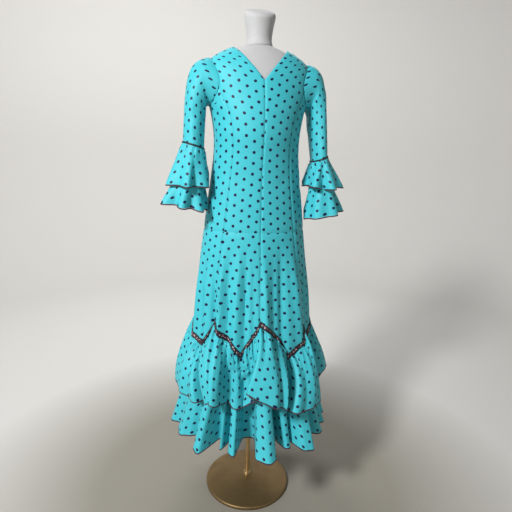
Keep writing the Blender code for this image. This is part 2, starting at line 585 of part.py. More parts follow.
def make_panels():
    """Eight bodice panels over eight skirt gores: centre front, side front, side back and centre back on each side."""

    def centre_front_edge(z):
        return line(NECK_FRONT, "z", "angle", z) if z > NECK_FRONT[0]["z"] else 0.0

    def centre_back_edge(z):
        return 180 - line(NECK_BACK, "z", "angle", z) if z > NECK_BACK[0]["z"] else 180.0

    def front_princess(z):
        return ramp(PRINCESS, "z", "front", z) if z < PRINCESS_TOP + 0.001 else armhole_angle(z)

    def back_princess(z):
        return 180 - ramp(PRINCESS, "z", "back", z) if z < PRINCESS_TOP + 0.001 else 180 - armhole_angle(z)

    def side_front(z):
        return armhole_angle(z)

    def side_back(z):
        return 180 - armhole_angle(z)

    for side, word in ((-1, "right"), (1, "left")):
        for part, centre_rows, side_rows in (("skirt", SKIRT_ROWS, SKIRT_ROWS), ("bodice", CENTRE_ROWS, SIDE_ROWS)):
            make_panel(f"{part}_front_{word}", side, centre_rows, centre_front_edge, front_princess, (0, 1))
            make_panel(f"{part}_side_front_{word}", side, side_rows, front_princess, side_front, (1, 2))
            make_panel(f"{part}_side_back_{word}", side, side_rows, side_back, back_princess, (2, 3))
            make_panel(f"{part}_back_{word}", side, centre_rows, back_princess, centre_back_edge, (3, 4))


def zigzag_height(seam):
    wrapped = (seam + 4) % 8 - 4
    return line(ZIGZAG, "at", "z", wrapped)


def make_zigzag_trim():
    """Ruched heading over the top edge of the upper flounce, pointed at each seam and between."""
    kinks = [row["at"] for row in ZIGZAG[:-1]]
    facets = [k / PANEL_COLUMNS - 4 for k in range(8 * PANEL_COLUMNS)]
    marks = sorted(kinks + [f for f in facets if min(abs(f - k) for k in kinks) > 0.012])
    out = CLOTH / 2 + SEAM_GAP + TRIM_THICKNESS / 2 + 0.0008
    rows = []
    for lift in (0.0, TRIM_HEIGHT):
        rows.append([skirt_point(seam, zigzag_height(seam) + lift, out) for seam in marks])
    sheet("zigzag_trim", rows, True, trim_cloth, TRIM_THICKNESS)


def folds_at(table, turn, at):
    """Reach, lean and rise of a ruffle at a place round it, from crest to hollow and back by cosine."""
    for k, row in enumerate(table):
        follower = table[(k + 1) % len(table)]
        start = row["at"]
        end = follower["at"] + (turn if k == len(table) - 1 else 0)
        place = at if at >= table[0]["at"] else at + turn
        if start <= place <= end:
            f = 0.5 - 0.5 * math.cos(math.pi * (place - start) / (end - start))
            return [row[c] * (1 - f) + follower[c] * f for c in ("out", "lean", "rise")]
    return [0.0, 0.0, 0.0]


def fold_marks(table, turn, samples):
    """Places round a ruffle at which its columns lie, a few for each crest and hollow."""
    marks = []
    for k, row in enumerate(table):
        end = table[(k + 1) % len(table)]["at"] + (turn if k == len(table) - 1 else 0)
        marks += [row["at"] + (end - row["at"]) * n / samples for n in range(samples)]
    return marks


def binding_from(name, hem, above, side=1):
    """Narrow binding sewn under a hem, carrying the cloth's own surface on below it."""
    count = len(hem)
    start = []
    end = []
    for k in range(count):
        along = (hem[(k + 1) % count] - hem[k - 1]).normalized()
        drop = (hem[k] - above[k]).normalized()
        below = (drop - along * drop.dot(along)).normalized()
        start.append(hem[k] + below * (SEAM_GAP + 0.0003))
        end.append(hem[k] + below * (SEAM_GAP + BINDING_HEIGHT))
    sheet(name, [order(side, end), order(side, start)], True, binding_cloth, BINDING)


def make_flounce(name, shape, table, tops):
    """Gathered flounce from a top line on the skirt down to a waved hem, with its binding."""
    marks = fold_marks(table, 8, shape["samples"])
    rows = []
    for n in range(shape["rows"] + 1):
        s = n / shape["rows"]
        swell = 1 - (1 - s) ** shape["swell"] if shape["swell"] > 1.5 else s ** shape["swell"]
        swell += shape["bulge"] * math.sin(math.pi * s)
        grow = s**0.85
        row = []
        for mark, top in zip(marks, tops):
            out, lean, rise = folds_at(table, 8, mark)
            foot = seam_angle(mark + lean * grow, shape["z"])
            hem = oval(shape["half"], shape["front"], shape["back"], foot, shape["z"] + rise)
            outward = Vector((hem.x, hem.y, 0)).normalized()
            flat = top.lerp(hem, swell) + outward * out * grow
            row.append(Vector((flat.x, flat.y, top.z + (hem.z - top.z) * s)))
        rows.append(row)
    sheet(name, rows[::-1], True, dress_cloth, CLOTH)
    binding_from(f"{name}_binding", rows[-1], rows[-2])


def make_upper_flounce():
    marks = fold_marks(UPPER_FOLDS, 8, UPPER_FLOUNCE["samples"])
    places = list(marks)
    for row in ZIGZAG[:-1]:
        kink = row["at"] if row["at"] > marks[0] - 0.05 else row["at"] + 8
        nearest = min(range(len(marks)), key=lambda n: abs(marks[n] - kink))
        if row["turn"] or abs(marks[nearest] - kink) < 0.04:
            places[nearest] = kink
    drop = 0.0025
    tops = [skirt_point(p, zigzag_height(p) - drop, LAYER) for p in places]
    make_flounce("flounce_upper", UPPER_FLOUNCE, UPPER_FOLDS, tops)


def make_lower_flounce():
    marks = fold_marks(LOWER_FOLDS, 8, LOWER_FLOUNCE["samples"])
    tops = []
    for mark in marks:
        top = skirt_point(mark, SKIRT_BOTTOM)
        top.z -= SEAM_GAP + 0.0003
        tops.append(top)
    make_flounce("flounce_lower", LOWER_FLOUNCE, LOWER_FOLDS, tops)


def clear_of_body(point, margin):
    """The point, moved straight out from the body's axis where it is too near the dress."""
    if point.z < BODY[0]["z"] or point.z > 1.36:
        return point
    degrees = math.degrees(math.atan2(point.x, -point.y))
    half = ramp(BODY, "z", "half", point.z)
    depth = ramp(BODY, "z", "front" if point.y < 0 else "back", point.z)
    t = math.radians(degrees)
    reach = 1 / math.hypot(math.sin(t) / half, math.cos(t) / depth) + margin
    flat = math.hypot(point.x, point.y)
    if flat >= reach:
        return point
    return Vector((point.x * reach / flat, point.y * reach / flat, point.z))


def ring_point(ring, side, degrees, out=0.0):
    """Point of a sleeve ring. 0 degrees is its front, 90 its outside and 270 the side by the body."""
    inner = Vector((side * ring["in_x"], ring["y"], ring["in_z"]))
    outer = Vector((side * ring["out_x"], ring["y"], ring["out_z"]))
    centre = (inner + outer) / 2
    reach = (outer - inner) / 2
    t = math.radians(degrees)
    across = reach * math.sin(t)
    along = Vector((0, -ring["depth"] * math.cos(t), 0))
    offset = across + along
    return centre + offset + offset.normalized() * out


def armhole_point(side, degrees):
    """Point just outside the armhole's edge, where the sleeve is set in over it."""
    t = math.radians(degrees)
    z = ARMHOLE["z"] + (ARMHOLE["rise"] + SLEEVE_LAP) * math.sin(t)
    angle = side * (90 - (ARMHOLE["sweep"] + 1.2) * math.cos(t))
    return body_point(angle, z) + body_normal(angle, z) * (CLOTH + SEAM_GAP + 0.0003)


def sleeve_point(rings, side, degrees, place):
    """Point of the sleeve's surface at a place that counts rings from the armhole, which is 0."""
    def at(k, angle):
        return armhole_point(side, angle) if k == 0 else ring_point(rings[k - 1], side, angle)

    step = 360 / SLEEVE_COLUMNS
    column = math.floor(degrees / step + 1e-9)
    f = degrees / step - column
    k = min(int(place), len(rings) - 1)
    up = place - k
    near = at(k, column * step).lerp(at(k, (column + 1) * step), f)
    far = at(k + 1, column * step).lerp(at(k + 1, (column + 1) * step), f)
    return near.lerp(far, up)


def outward_from(rings, side, degrees, place):
    """Direction away from the sleeve's middle at a place along it."""
    k = min(max(int(round(place)), 1), len(rings)) - 1
    ring = rings[k]
    centre = ring_point(ring, side, 90).lerp(ring_point(ring, side, 270), 0.5)
    return (ring_point(ring, side, degrees) - centre).normalized()


def order(side, row):
    """Rows run anticlockwise seen from above on the +X side, so the mirrored side is turned round."""
    return row if side > 0 else row[::-1]


def make_ruffle(name, rings, side, table, start, hem_ring, swell_power, margin, lift):
    """Gathered sleeve ruffle from a place on the sleeve down to its waved hem, with its binding."""
    marks = fold_marks(table, 360, RUFFLE_SAMPLES)
    rows = []
    for n in range(RUFFLE_ROWS + 1):
        s = n / RUFFLE_ROWS
        swell = 1 - (1 - s) ** swell_power
        row = []
        for mark in marks:
            out, lean, rise = folds_at(table, 360, mark)
            top = sleeve_point(rings, side, mark, start) + outward_from(rings, side, mark, start) * lift
            foot = ring_point(hem_ring, side, mark + lean * s, out * s**1.5)
            flat = top.lerp(foot, swell)
            height = top.z + (foot.z + rise - top.z) * s
            point = Vector((flat.x, flat.y, height))
            row.append(clear_of_body(point, margin) if n else top)
        rows.append(row)
    sheet(name, [order(side, row) for row in rows[::-1]], True, dress_cloth, CLOTH)
    binding_from(f"{name}_binding", rows[-1], rows[-2], side)


def make_sleeve(word, side, rings, upper, upper_hem, lower, lower_hem):
    """Set-in sleeve with its elbow trim and two ruffles."""
    angles = [360 * c / SLEEVE_COLUMNS for c in range(SLEEVE_COLUMNS)]
    rows = [[sleeve_point(rings, side, a, k) for a in angles] for k in range(len(rings) + 1)]
    sheet(f"sleeve_{word}", [order(side, row) for row in rows[::-1]], True, dress_cloth, CLOTH)

    out = CLOTH / 2 + SEAM_GAP + BINDING / 2 + 0.0006
    band = []
    for place in (ELBOW_RING, ELBOW_RING - ELBOW_TRIM_SPAN):
        row = []
        for a in angles:
            away = outward_from(rings, side, a, place)
            row.append(sleeve_point(rings, side, a, place) + away * out)
        band.append(order(side, row))
    sheet(f"elbow_trim_{word}", band, True, trim_cloth, BINDING)

    below_trim = ELBOW_RING + 0.02
    make_ruffle(f"ruffle_upper_{word}", rings, side, upper, below_trim, upper_hem, 1.15, 0.010, LAYER)
    hem_place = len(rings)
    make_ruffle(f"ruffle_lower_{word}", rings, side, lower, hem_place, lower_hem, 1.15, 0.006, LAYER)


def make_form():
    """Limbless torso and neck block, clear of the cloth."""
    turn = [360 * c / FORM_COLUMNS for c in range(FORM_COLUMNS)]
    rows = [[oval(r["half"], r["front"], r["back"], a, r["z"]) for a in turn] for r in FORM]
    closed_loft("form_torso", rows, form_skin)

    rows = []
    low = NECK[0]["z"]
    high = NECK[-1]["z"]
    for ring in NECK:
        tilt = NECK_TOP_TILT * ((ring["z"] - low) / (high - low)) ** 2
        row = []
        for a in turn:
            point = oval(ring["radius"], ring["radius"], ring["radius"], a, ring["z"])
            point.z += point.y * tilt
            point.y += NECK_CENTRE_Y
            row.append(point)
        rows.append(row)
    closed_loft("form_neck", rows, form_skin)


def make_stand():
    """Pole, its collar and the round base."""
    crown = BASE_EDGE + BASE_CROWN
    collar_foot = crown + SEAM_GAP
    turned(
        "base_disc",
        [
            (0, crown),
            (0.030, crown),
            (BASE_RADIUS - 0.006, BASE_EDGE + 0.002),
            (BASE_RADIUS, BASE_EDGE - 0.001),
            (BASE_RADIUS, 0.001),
            (BASE_RADIUS - 0.001, 0),
            (0, 0),
        ],
        40,
        brass,
    )
    turned(
        "pole_collar",
        [
            (0, COLLAR_TOP + 0.010),
            (COLLAR_RADIUS - 0.001, COLLAR_TOP + 0.010),
            (COLLAR_RADIUS, COLLAR_TOP + 0.009),
            (COLLAR_RADIUS, collar_foot),
            (0, collar_foot),
        ],
        20,
        brass,
    )
    pole_foot = COLLAR_TOP + 0.010 + SEAM_GAP
    pole_top = FORM[0]["z"] - SEAM_GAP
    turned(
        "pole",
        [(0, pole_top), (POLE_RADIUS, pole_top), (POLE_RADIUS, pole_foot), (0, pole_foot)],
        20,
        brass,
    )


for leftover in list(bpy.data.objects):
    bpy.data.objects.remove(leftover, do_unlink=True)

parts = collection_named(OBJECT_NAME)
dress_cloth = material_named("turquoise_cloth", (0.055, 0.62, 0.64), 0.55)
trim_cloth = material_named("burgundy_trim", (0.10, 0.015, 0.045), 0.7)
binding_cloth = material_named("dark_binding", (0.05, 0.008, 0.025), 0.7)
form_skin = material_named("white_form", (0.80, 0.80, 0.79), 0.5)
brass = material_named("aged_brass", (0.30, 0.19, 0.08), 0.4, 0.9)

make_stand()
make_form()
make_panels()
make_zigzag_trim()
make_upper_flounce()
make_lower_flounce()
make_sleeve(
    "right", -1, RIGHT_RINGS, RIGHT_UPPER_FOLDS, RIGHT_UPPER_HEM, RIGHT_LOWER_FOLDS, RIGHT_LOWER_HEM
)
make_sleeve(
    "left", 1, LEFT_RINGS, LEFT_UPPER_FOLDS, LEFT_UPPER_HEM, LEFT_LOWER_FOLDS, LEFT_LOWER_HEM
)
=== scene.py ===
# Flamenco dress on a limbless dress form: the looks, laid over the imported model
# Metres, +Z up, the front of the dress faces -Y

import math
import random
from bisect import bisect_right

import bpy
import numpy as np
from mathutils import Matrix, Vector


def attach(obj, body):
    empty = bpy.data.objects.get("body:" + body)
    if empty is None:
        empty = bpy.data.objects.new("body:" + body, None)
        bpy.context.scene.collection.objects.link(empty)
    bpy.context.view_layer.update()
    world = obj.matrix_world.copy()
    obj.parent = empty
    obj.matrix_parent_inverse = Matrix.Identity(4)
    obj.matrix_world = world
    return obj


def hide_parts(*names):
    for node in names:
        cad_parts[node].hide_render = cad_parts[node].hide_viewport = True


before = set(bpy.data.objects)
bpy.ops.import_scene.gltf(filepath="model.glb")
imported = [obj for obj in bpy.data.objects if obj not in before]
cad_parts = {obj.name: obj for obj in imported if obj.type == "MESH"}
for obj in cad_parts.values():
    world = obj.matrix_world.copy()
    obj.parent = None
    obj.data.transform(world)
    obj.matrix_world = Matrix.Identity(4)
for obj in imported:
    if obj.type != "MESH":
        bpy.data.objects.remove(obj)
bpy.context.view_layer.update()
print("frame loaded")


def rowsOf(columns, rows):
    return [dict(zip(columns, row)) for row in rows]


# The worn dress's shape, in the same sizes as the solids
clothWall = 0.0010
hipSeam = 0.981
skirtBottom = 0.545
princessTop = 1.405
armhole = {"z": 1.4315, "rise": 0.0665, "sweep": 38.0, "lowAngle": 53.2, "highAngle": 52.0}

bodyRows = rowsOf(("z", "half", "front", "back"), [
    (0.545, 0.209, 0.17, 0.176), (0.64, 0.203, 0.16, 0.166), (0.74, 0.195, 0.146, 0.153),
    (0.85, 0.184, 0.131, 0.14), (0.96, 0.17, 0.12, 0.13), (1.06, 0.158, 0.113, 0.112),
    (1.15, 0.146, 0.11, 0.096), (1.22, 0.138, 0.117, 0.094), (1.28, 0.138, 0.127, 0.099),
    (1.34, 0.147, 0.124, 0.103), (1.385, 0.159, 0.115, 0.105), (1.43, 0.167, 0.105, 0.103),
    (1.47, 0.167, 0.093, 0.098), (1.5, 0.149, 0.08, 0.091), (1.52, 0.119, 0.068, 0.081),
    (1.535, 0.086, 0.058, 0.069),
])
princessRows = rowsOf(("z", "front", "back"), [
    (0.545, 48.0, 46.0), (0.85, 45.0, 44.0), (1.06, 41.0, 41.0), (1.22, 39.5, 40.0), (1.3, 42.0, 42.5),
    (1.36, 47.0, 47.0), (1.41, 53.8, 53.8),
])
neckFrontRows = rowsOf(("z", "angle"), [
    (1.4315, 0.0), (1.4706, 10.7), (1.4947, 19.3), (1.509, 27.0), (1.521, 37.7), (1.532, 61.0),
])
neckBackRows = rowsOf(("z", "angle"), [
    (1.509, 0.0), (1.521, 34.0), (1.532, 60.0),
])
skirtFolds = rowsOf(("at", "width", "depth", "top"), [
    (0.42, 0.34, 0.006, 1.0), (-0.5, 0.36, 0.004, 0.98), (1.5, 0.36, 0.005, 0.96), (-1.45, 0.36, 0.006, 1.0),
    (2.55, 0.36, 0.006, 0.98), (-2.5, 0.36, 0.005, 1.0), (3.45, 0.36, 0.007, 1.02), (-3.5, 0.36, 0.006, 0.98),
])


def ramp(rows, key, column, x):  # smooth value of a column, flat beyond its ends
    marks = [row[key] for row in rows]
    if x <= marks[0]:
        return rows[0][column]
    if x >= marks[-1]:
        return rows[-1][column]
    k = bisect_right(marks, x) - 1
    span = marks[k + 1] - marks[k]
    f = (x - marks[k]) / span

    def slope(n):
        low = max(n - 1, 0)
        high = min(n + 1, len(rows) - 1)
        return (rows[high][column] - rows[low][column]) / (marks[high] - marks[low])

    a = rows[k][column]
    b = rows[k + 1][column]
    near = a * (2 * f**3 - 3 * f**2 + 1) + b * (3 * f**2 - 2 * f**3)
    return near + slope(k) * span * (f**3 - 2 * f**2 + f) + slope(k + 1) * span * (f**3 - f**2)


def line(rows, key, column, x):  # straight-line value of a column
    return float(np.interp(x, [row[key] for row in rows], [row[column] for row in rows]))


def oval(half, front, back, degrees, z):  # 0 degrees is the front, 90 the +X side
    t = math.radians(degrees)
    depth = front if math.cos(t) > 0 else back
    return Vector((half * math.sin(t), -depth * math.cos(t), z))


def seamAngle(seam, z):  # 0 is the middle of the front, 1 a princess seam, 2 the side, 4 the middle back
    front = ramp(princessRows, "z", "front", z)
    back = ramp(princessRows, "z", "back", z)
    turns = math.floor((seam + 4) / 8)
    seam -= 8 * turns
    angles = [-180, back - 180, -90, -front, 0, front, 90, 180 - back, 180]
    k = min(int(seam + 4), 7)
    f = seam + 4 - k
    return 360 * turns + angles[k] * (1 - f) + angles[k + 1] * f


def foldDepth(seam, z):
    total = 0.0
    for fold in skirtFolds:
        away = (seam - fold["at"] + 4) % 8 - 4
        if abs(away) < fold["width"] and z < fold["top"]:
            fade = min(1.0, (fold["top"] - z) / 0.35)
            total += fold["depth"] * fade * 0.5 * (1 + math.cos(math.pi * away / fold["width"]))
    return total


def bodyPoint(degrees, z, seam=None):
    half, front, back = (ramp(bodyRows, "z", column, z) for column in ("half", "front", "back"))
    point = oval(half, front, back, degrees, z)
    if seam is not None:
        point -= Vector((point.x, point.y, 0)).normalized() * foldDepth(seam, z)
    return point


def bodyNormal(degrees, z):
    across = bodyPoint(degrees + 1, z) - bodyPoint(degrees - 1, z)
    upward = bodyPoint(degrees, z + 0.002) - bodyPoint(degrees, z - 0.002)
    return across.cross(upward).normalized()


def armholeAngle(z):
    away = (z - armhole["z"]) / armhole["rise"]
    return 90.0 if abs(away) >= 1 else 90 - armhole["sweep"] * math.sqrt(1 - away * away)


def newMaterial(name):
    made = bpy.data.materials.new(name)
    made.use_nodes = True
    nodes = made.node_tree.nodes
    return made, nodes, made.node_tree.links, nodes["Principled BSDF"]


def mathNode(nodes, links, operation, a, b=None, clamp=False):
    node = nodes.new("ShaderNodeMath")
    node.operation = operation
    node.use_clamp = clamp
    for k, value in enumerate((a, b)):
        if value is None:
            continue
        if isinstance(value, (int, float)):
            node.inputs[k].default_value = value
        else:
            links.new(value, node.inputs[k])
    return node.outputs[0]


def mixColours(nodes, links, factor, first, second):
    node = nodes.new("ShaderNodeMix")
    node.data_type = "RGBA"
    for socket, value in ((node.inputs[0], factor), (node.inputs[6], first), (node.inputs[7], second)):
        if isinstance(value, (int, float)):
            socket.default_value = value
        elif isinstance(value, tuple):
            socket.default_value = (*value, 1)
        else:
            links.new(value, socket)
    return node.outputs[2]


def noiseAt(nodes, links, coords, scale, detail=2.0, roughness=0.5):
    node = nodes.new("ShaderNodeTexNoise")
    node.inputs["Scale"].default_value = scale
    node.inputs["Detail"].default_value = detail
    node.inputs["Roughness"].default_value = roughness
    links.new(coords, node.inputs["Vector"])
    return node.outputs["Fac"]


def bumpFrom(nodes, links, shader, height, strength, distance):
    bump = nodes.new("ShaderNodeBump")
    bump.inputs["Strength"].default_value = strength
    bump.inputs["Distance"].default_value = distance
    links.new(height, bump.inputs["Height"])
    links.new(bump.outputs["Normal"], shader.inputs["Normal"])


dottedCrepe = {
    "colour": (0.038, 0.400, 0.470), "paler": (0.052, 0.450, 0.515), "dot": (0.005, 0.006, 0.045),
    "acrossPeriod": 0.048, "alongPeriod": 0.032, "dotRadius": 0.0048, "edge": 0.0005,
    "roughness": 0.56, "sheen": 0.05, "thread": 0.00042,
}


def makeDottedCrepe():
    s = dottedCrepe
    made, nodes, links, shader = newMaterial("dottedCrepe")
    uv = nodes.new("ShaderNodeUVMap")
    uv.uv_map = "cloth"
    split = nodes.new("ShaderNodeSeparateXYZ")
    links.new(uv.outputs["UV"], split.inputs[0])

    def away(u, v):  # distance to the nearest dot of one half of the staggered lattice
        x = mathNode(nodes, links, "ADD", mathNode(nodes, links, "DIVIDE", u, s["acrossPeriod"]), 0.5)
        y = mathNode(nodes, links, "ADD", mathNode(nodes, links, "DIVIDE", v, s["alongPeriod"]), 0.5)
        x = mathNode(nodes, links, "SUBTRACT", mathNode(nodes, links, "FRACT", x), 0.5)
        y = mathNode(nodes, links, "SUBTRACT", mathNode(nodes, links, "FRACT", y), 0.5)
        x = mathNode(nodes, links, "MULTIPLY", x, s["acrossPeriod"])
        y = mathNode(nodes, links, "MULTIPLY", y, s["alongPeriod"])
        x = mathNode(nodes, links, "MULTIPLY", x, x)
        y = mathNode(nodes, links, "MULTIPLY", y, y)
        return mathNode(nodes, links, "SQRT", mathNode(nodes, links, "ADD", x, y))

    u, v = split.outputs[0], split.outputs[1]
    shiftedU = mathNode(nodes, links, "ADD", u, s["acrossPeriod"] / 2)
    shiftedV = mathNode(nodes, links, "ADD", v, s["alongPeriod"] / 2)
    nearest = mathNode(nodes, links, "MINIMUM", away(u, v), away(shiftedU, shiftedV))
    inside = mathNode(nodes, links, "SUBTRACT", s["dotRadius"] + s["edge"] / 2, nearest)
    dots = mathNode(nodes, links, "DIVIDE", inside, s["edge"], clamp=True)

    cloudy = noiseAt(nodes, links, uv.outputs["UV"], 14.0, 3.0)
    ground = mixColours(nodes, links, cloudy, s["colour"], s["paler"])
    links.new(mixColours(nodes, links, dots, ground, s["dot"]), shader.inputs["Base Color"])
    weave = noiseAt(nodes, links, uv.outputs["UV"], 1 / s["thread"] / 2, 1.0)
    bumpFrom(nodes, links, shader, weave, 0.18, 0.0002)
    shader.inputs["Roughness"].default_value = s["roughness"]
    shader.inputs["Sheen Weight"].default_value = s["sheen"]
    shader.inputs["Sheen Roughness"].default_value = 0.4
    shader.inputs["Specular IOR Level"].default_value = 0.25
    return made


ruchedRibbon = {
    "dark": (0.004, 0.002, 0.005), "wine": (0.060, 0.004, 0.020), "fleck": (0.78, 0.62, 0.64),
    "roughness": 0.6, "fleckSize": 0.36, "fleckCrispness": 9.0, "middle": 0.54, "halfWidth": 0.23,
}


def makeRuchedRibbon():
    s = ruchedRibbon
    made, nodes, links, shader = newMaterial("ruchedRibbon")
    uv = nodes.new("ShaderNodeUVMap")
    uv.uv_map = "cloth"
    split = nodes.new("ShaderNodeSeparateXYZ")
    links.new(uv.outputs["UV"], split.inputs[0])
    across = mathNode(nodes, links, "SUBTRACT", split.outputs[1], s["middle"])
    fromMiddle = mathNode(nodes, links, "ABSOLUTE", across)
    inside = mathNode(nodes, links, "SUBTRACT", s["halfWidth"], fromMiddle)
    inner = mathNode(nodes, links, "MULTIPLY", inside, 14.0, clamp=True)  # between the two piped edges
    speckle = nodes.new("ShaderNodeTexVoronoi")
    stretched = nodes.new("ShaderNodeMapping")
    stretched.inputs["Scale"].default_value = (260.0, 3.4, 1.0)
    links.new(uv.outputs["UV"], stretched.inputs["Vector"])
    speckle.inputs["Scale"].default_value = 1.0
    links.new(stretched.outputs["Vector"], speckle.inputs["Vector"])
    near = mathNode(nodes, links, "SUBTRACT", s["fleckSize"], speckle.outputs["Distance"])
    flecks = mathNode(nodes, links, "MULTIPLY", near, s["fleckCrispness"], clamp=True)
    flecks = mathNode(nodes, links, "MULTIPLY", flecks, inner)
    patchy = noiseAt(nodes, links, stretched.outputs["Vector"], 0.9, 2.0)
    ground = mixColours(nodes, links, mathNode(nodes, links, "MULTIPLY", patchy, inner), s["dark"], s["wine"])
    links.new(mixColours(nodes, links, flecks, ground, s["fleck"]), shader.inputs["Base Color"])
    bumpFrom(nodes, links, shader, noiseAt(nodes, links, stretched.outputs["Vector"], 4.0, 2.0), 0.4, 0.0004)
    shader.inputs["Roughness"].default_value = s["roughness"]
    return made


def makePlainCloth(name, colour, second, roughness, scale, strength):
    made, nodes, links, shader = newMaterial(name)
    place = nodes.new("ShaderNodeTexCoord").outputs["Object"]
    cloudy = noiseAt(nodes, links, place, 60.0, 3.0)
    links.new(mixColours(nodes, links, cloudy, colour, second), shader.inputs["Base Color"])
    bumpFrom(nodes, links, shader, noiseAt(nodes, links, place, scale, 2.0), strength, 0.0003)
    shader.inputs["Roughness"].default_value = roughness
    shader.inputs["Sheen Weight"].default_value = 0.2
    return made


agedBrass = {"colour": (0.72, 0.54, 0.30), "dull": (0.50, 0.36, 0.18), "roughness": 0.36, "metal": 0.80}
# painted reflection: the same aged brass as the pole, darkened for the base disc to stand for the dark floor
# it reflects
brassWithPaintedDarkReflection = {"colour": (0.270, 0.180, 0.080), "dull": (0.160, 0.106, 0.048), "roughness": 0.44, "metal": 0.8}


def makeBrushedMetal(name, s):
    made, nodes, links, shader = newMaterial(name)
    place = nodes.new("ShaderNodeTexCoord").outputs["Object"]
    worn = noiseAt(nodes, links, place, 22.0, 5.0, 0.6)
    links.new(mixColours(nodes, links, worn, s["colour"], s["dull"]), shader.inputs["Base Color"])
    wear = mathNode(nodes, links, "MULTIPLY", worn, 0.25)
    rough = mathNode(nodes, links, "ADD", wear, s["roughness"] - 0.10)
    links.new(rough, shader.inputs["Roughness"])
    bumpFrom(nodes, links, shader, noiseAt(nodes, links, place, 900.0, 2.0), 0.08, 0.0002)
    shader.inputs["Metallic"].default_value = s["metal"]
    return made


crepe = makeDottedCrepe()
ribbon = makeRuchedRibbon()
boundEdge = makePlainCloth("boundEdge", (0.016, 0.004, 0.014), (0.050, 0.006, 0.024), 0.6, 1800.0, 0.3)
jersey = makePlainCloth("jersey", (0.42, 0.42, 0.425), (0.39, 0.39, 0.395), 0.75, 1500.0, 0.25)
brass = makeBrushedMetal("agedBrass", agedBrass)
# the pole's brass with a painted dark reflection, for the base disc
paintedDarkBrass = makeBrushedMetal("brassWithPaintedDarkReflection", brassWithPaintedDarkReflection)
print("materials made")


def onlyThis(made):
    bpy.ops.object.select_all(action="DESELECT")
    made.select_set(True)
    bpy.context.view_layer.objects.active = made


def standsFor(made, node):
    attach(made, "root")
    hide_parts(node)


def gridNormals(grid, closed):  # a grid of cloth has its lowest row first
    if closed:
        across = np.roll(grid, -1, axis=1) - np.roll(grid, 1, axis=1)
    else:
        across = np.gradient(grid, axis=1)
    normals = np.cross(across, np.gradient(grid, axis=0))
    return normals / np.maximum(np.linalg.norm(normals, axis=2, keepdims=True), 1e-12)


def objectFromGrid(name, grid, uv, closed, material, wall=0.0):  # uv has one more column than a closed grid
    rows, columns = grid.shape[:2]
    faces = []
    corners = []
    for r in range(rows - 1):
        for c in range(columns if closed else columns - 1):
            d = (c + 1) % columns
            faces.append((r * columns + c, r * columns + d, (r + 1) * columns + d, (r + 1) * columns + c))
            corners += [uv[r, c], uv[r, c + 1], uv[r + 1, c + 1], uv[r + 1, c]]
    mesh = bpy.data.meshes.new(name)
    mesh.from_pydata(grid.reshape(-1, 3).tolist(), [], faces)
    layer = mesh.uv_layers.new(name="cloth")
    layer.data.foreach_set("uv", np.array(corners, np.float32).ravel())
    mesh.materials.append(material)
    made = bpy.data.objects.new(name, mesh)
    bpy.context.scene.collection.objects.link(made)
    onlyThis(made)
    if wall:
        shell = made.modifiers.new("wall", "SOLIDIFY")
        shell.thickness = wall
        shell.offset = 0
        bpy.ops.object.modifier_apply(modifier=shell.name)
    bpy.ops.object.shade_smooth_by_angle(angle=math.radians(50))
    return made


def lengthsAlong(grid, axis):
    steps = np.linalg.norm(np.diff(grid, axis=axis), axis=2)
    start = np.zeros_like(np.take(steps, [0], axis=axis))
    return np.concatenate([start, np.cumsum(steps, axis=axis)], axis=axis)


def layLattice(uv, turn, row, column):  # turns the cloth's grain and brings a dot to one point of the grid
    t = math.radians(turn)
    turned = uv @ np.array([[math.cos(t), math.sin(t)], [-math.sin(t), math.cos(t)]])
    return turned - turned[row, column]


def declareCloth(made, node, withPieces=()):
    standsFor(made, node)


def creaseRelief(creases, marks, heights, period=0.0):  # soft troughs and ridges, each with its own size
    total = np.zeros_like(marks)
    for crease in creases:
        along = (crease["top"] - heights) / crease["length"]
        centre = crease["at"] + crease["lean"] * along
        away = marks - centre
        if period:
            away = (away + period / 2) % period - period / 2
        inside = (along > 0) & (along < 1)
        fade = np.where(inside, np.sin(np.pi * np.clip(along, 0, 1)) ** 0.7, 0)
        total += crease["depth"] * fade * np.exp(-((away / crease["width"]) ** 2))
    return total


panelSettings = {
    "columns": 34, "rowStep": 0.0090, "gap": 0.00015, "seamRoll": 0.0020, "rollWidth": 0.0032,
    "pucker": 0.00035, "puckerLength": 0.016, "puckerFade": 0.010,
}

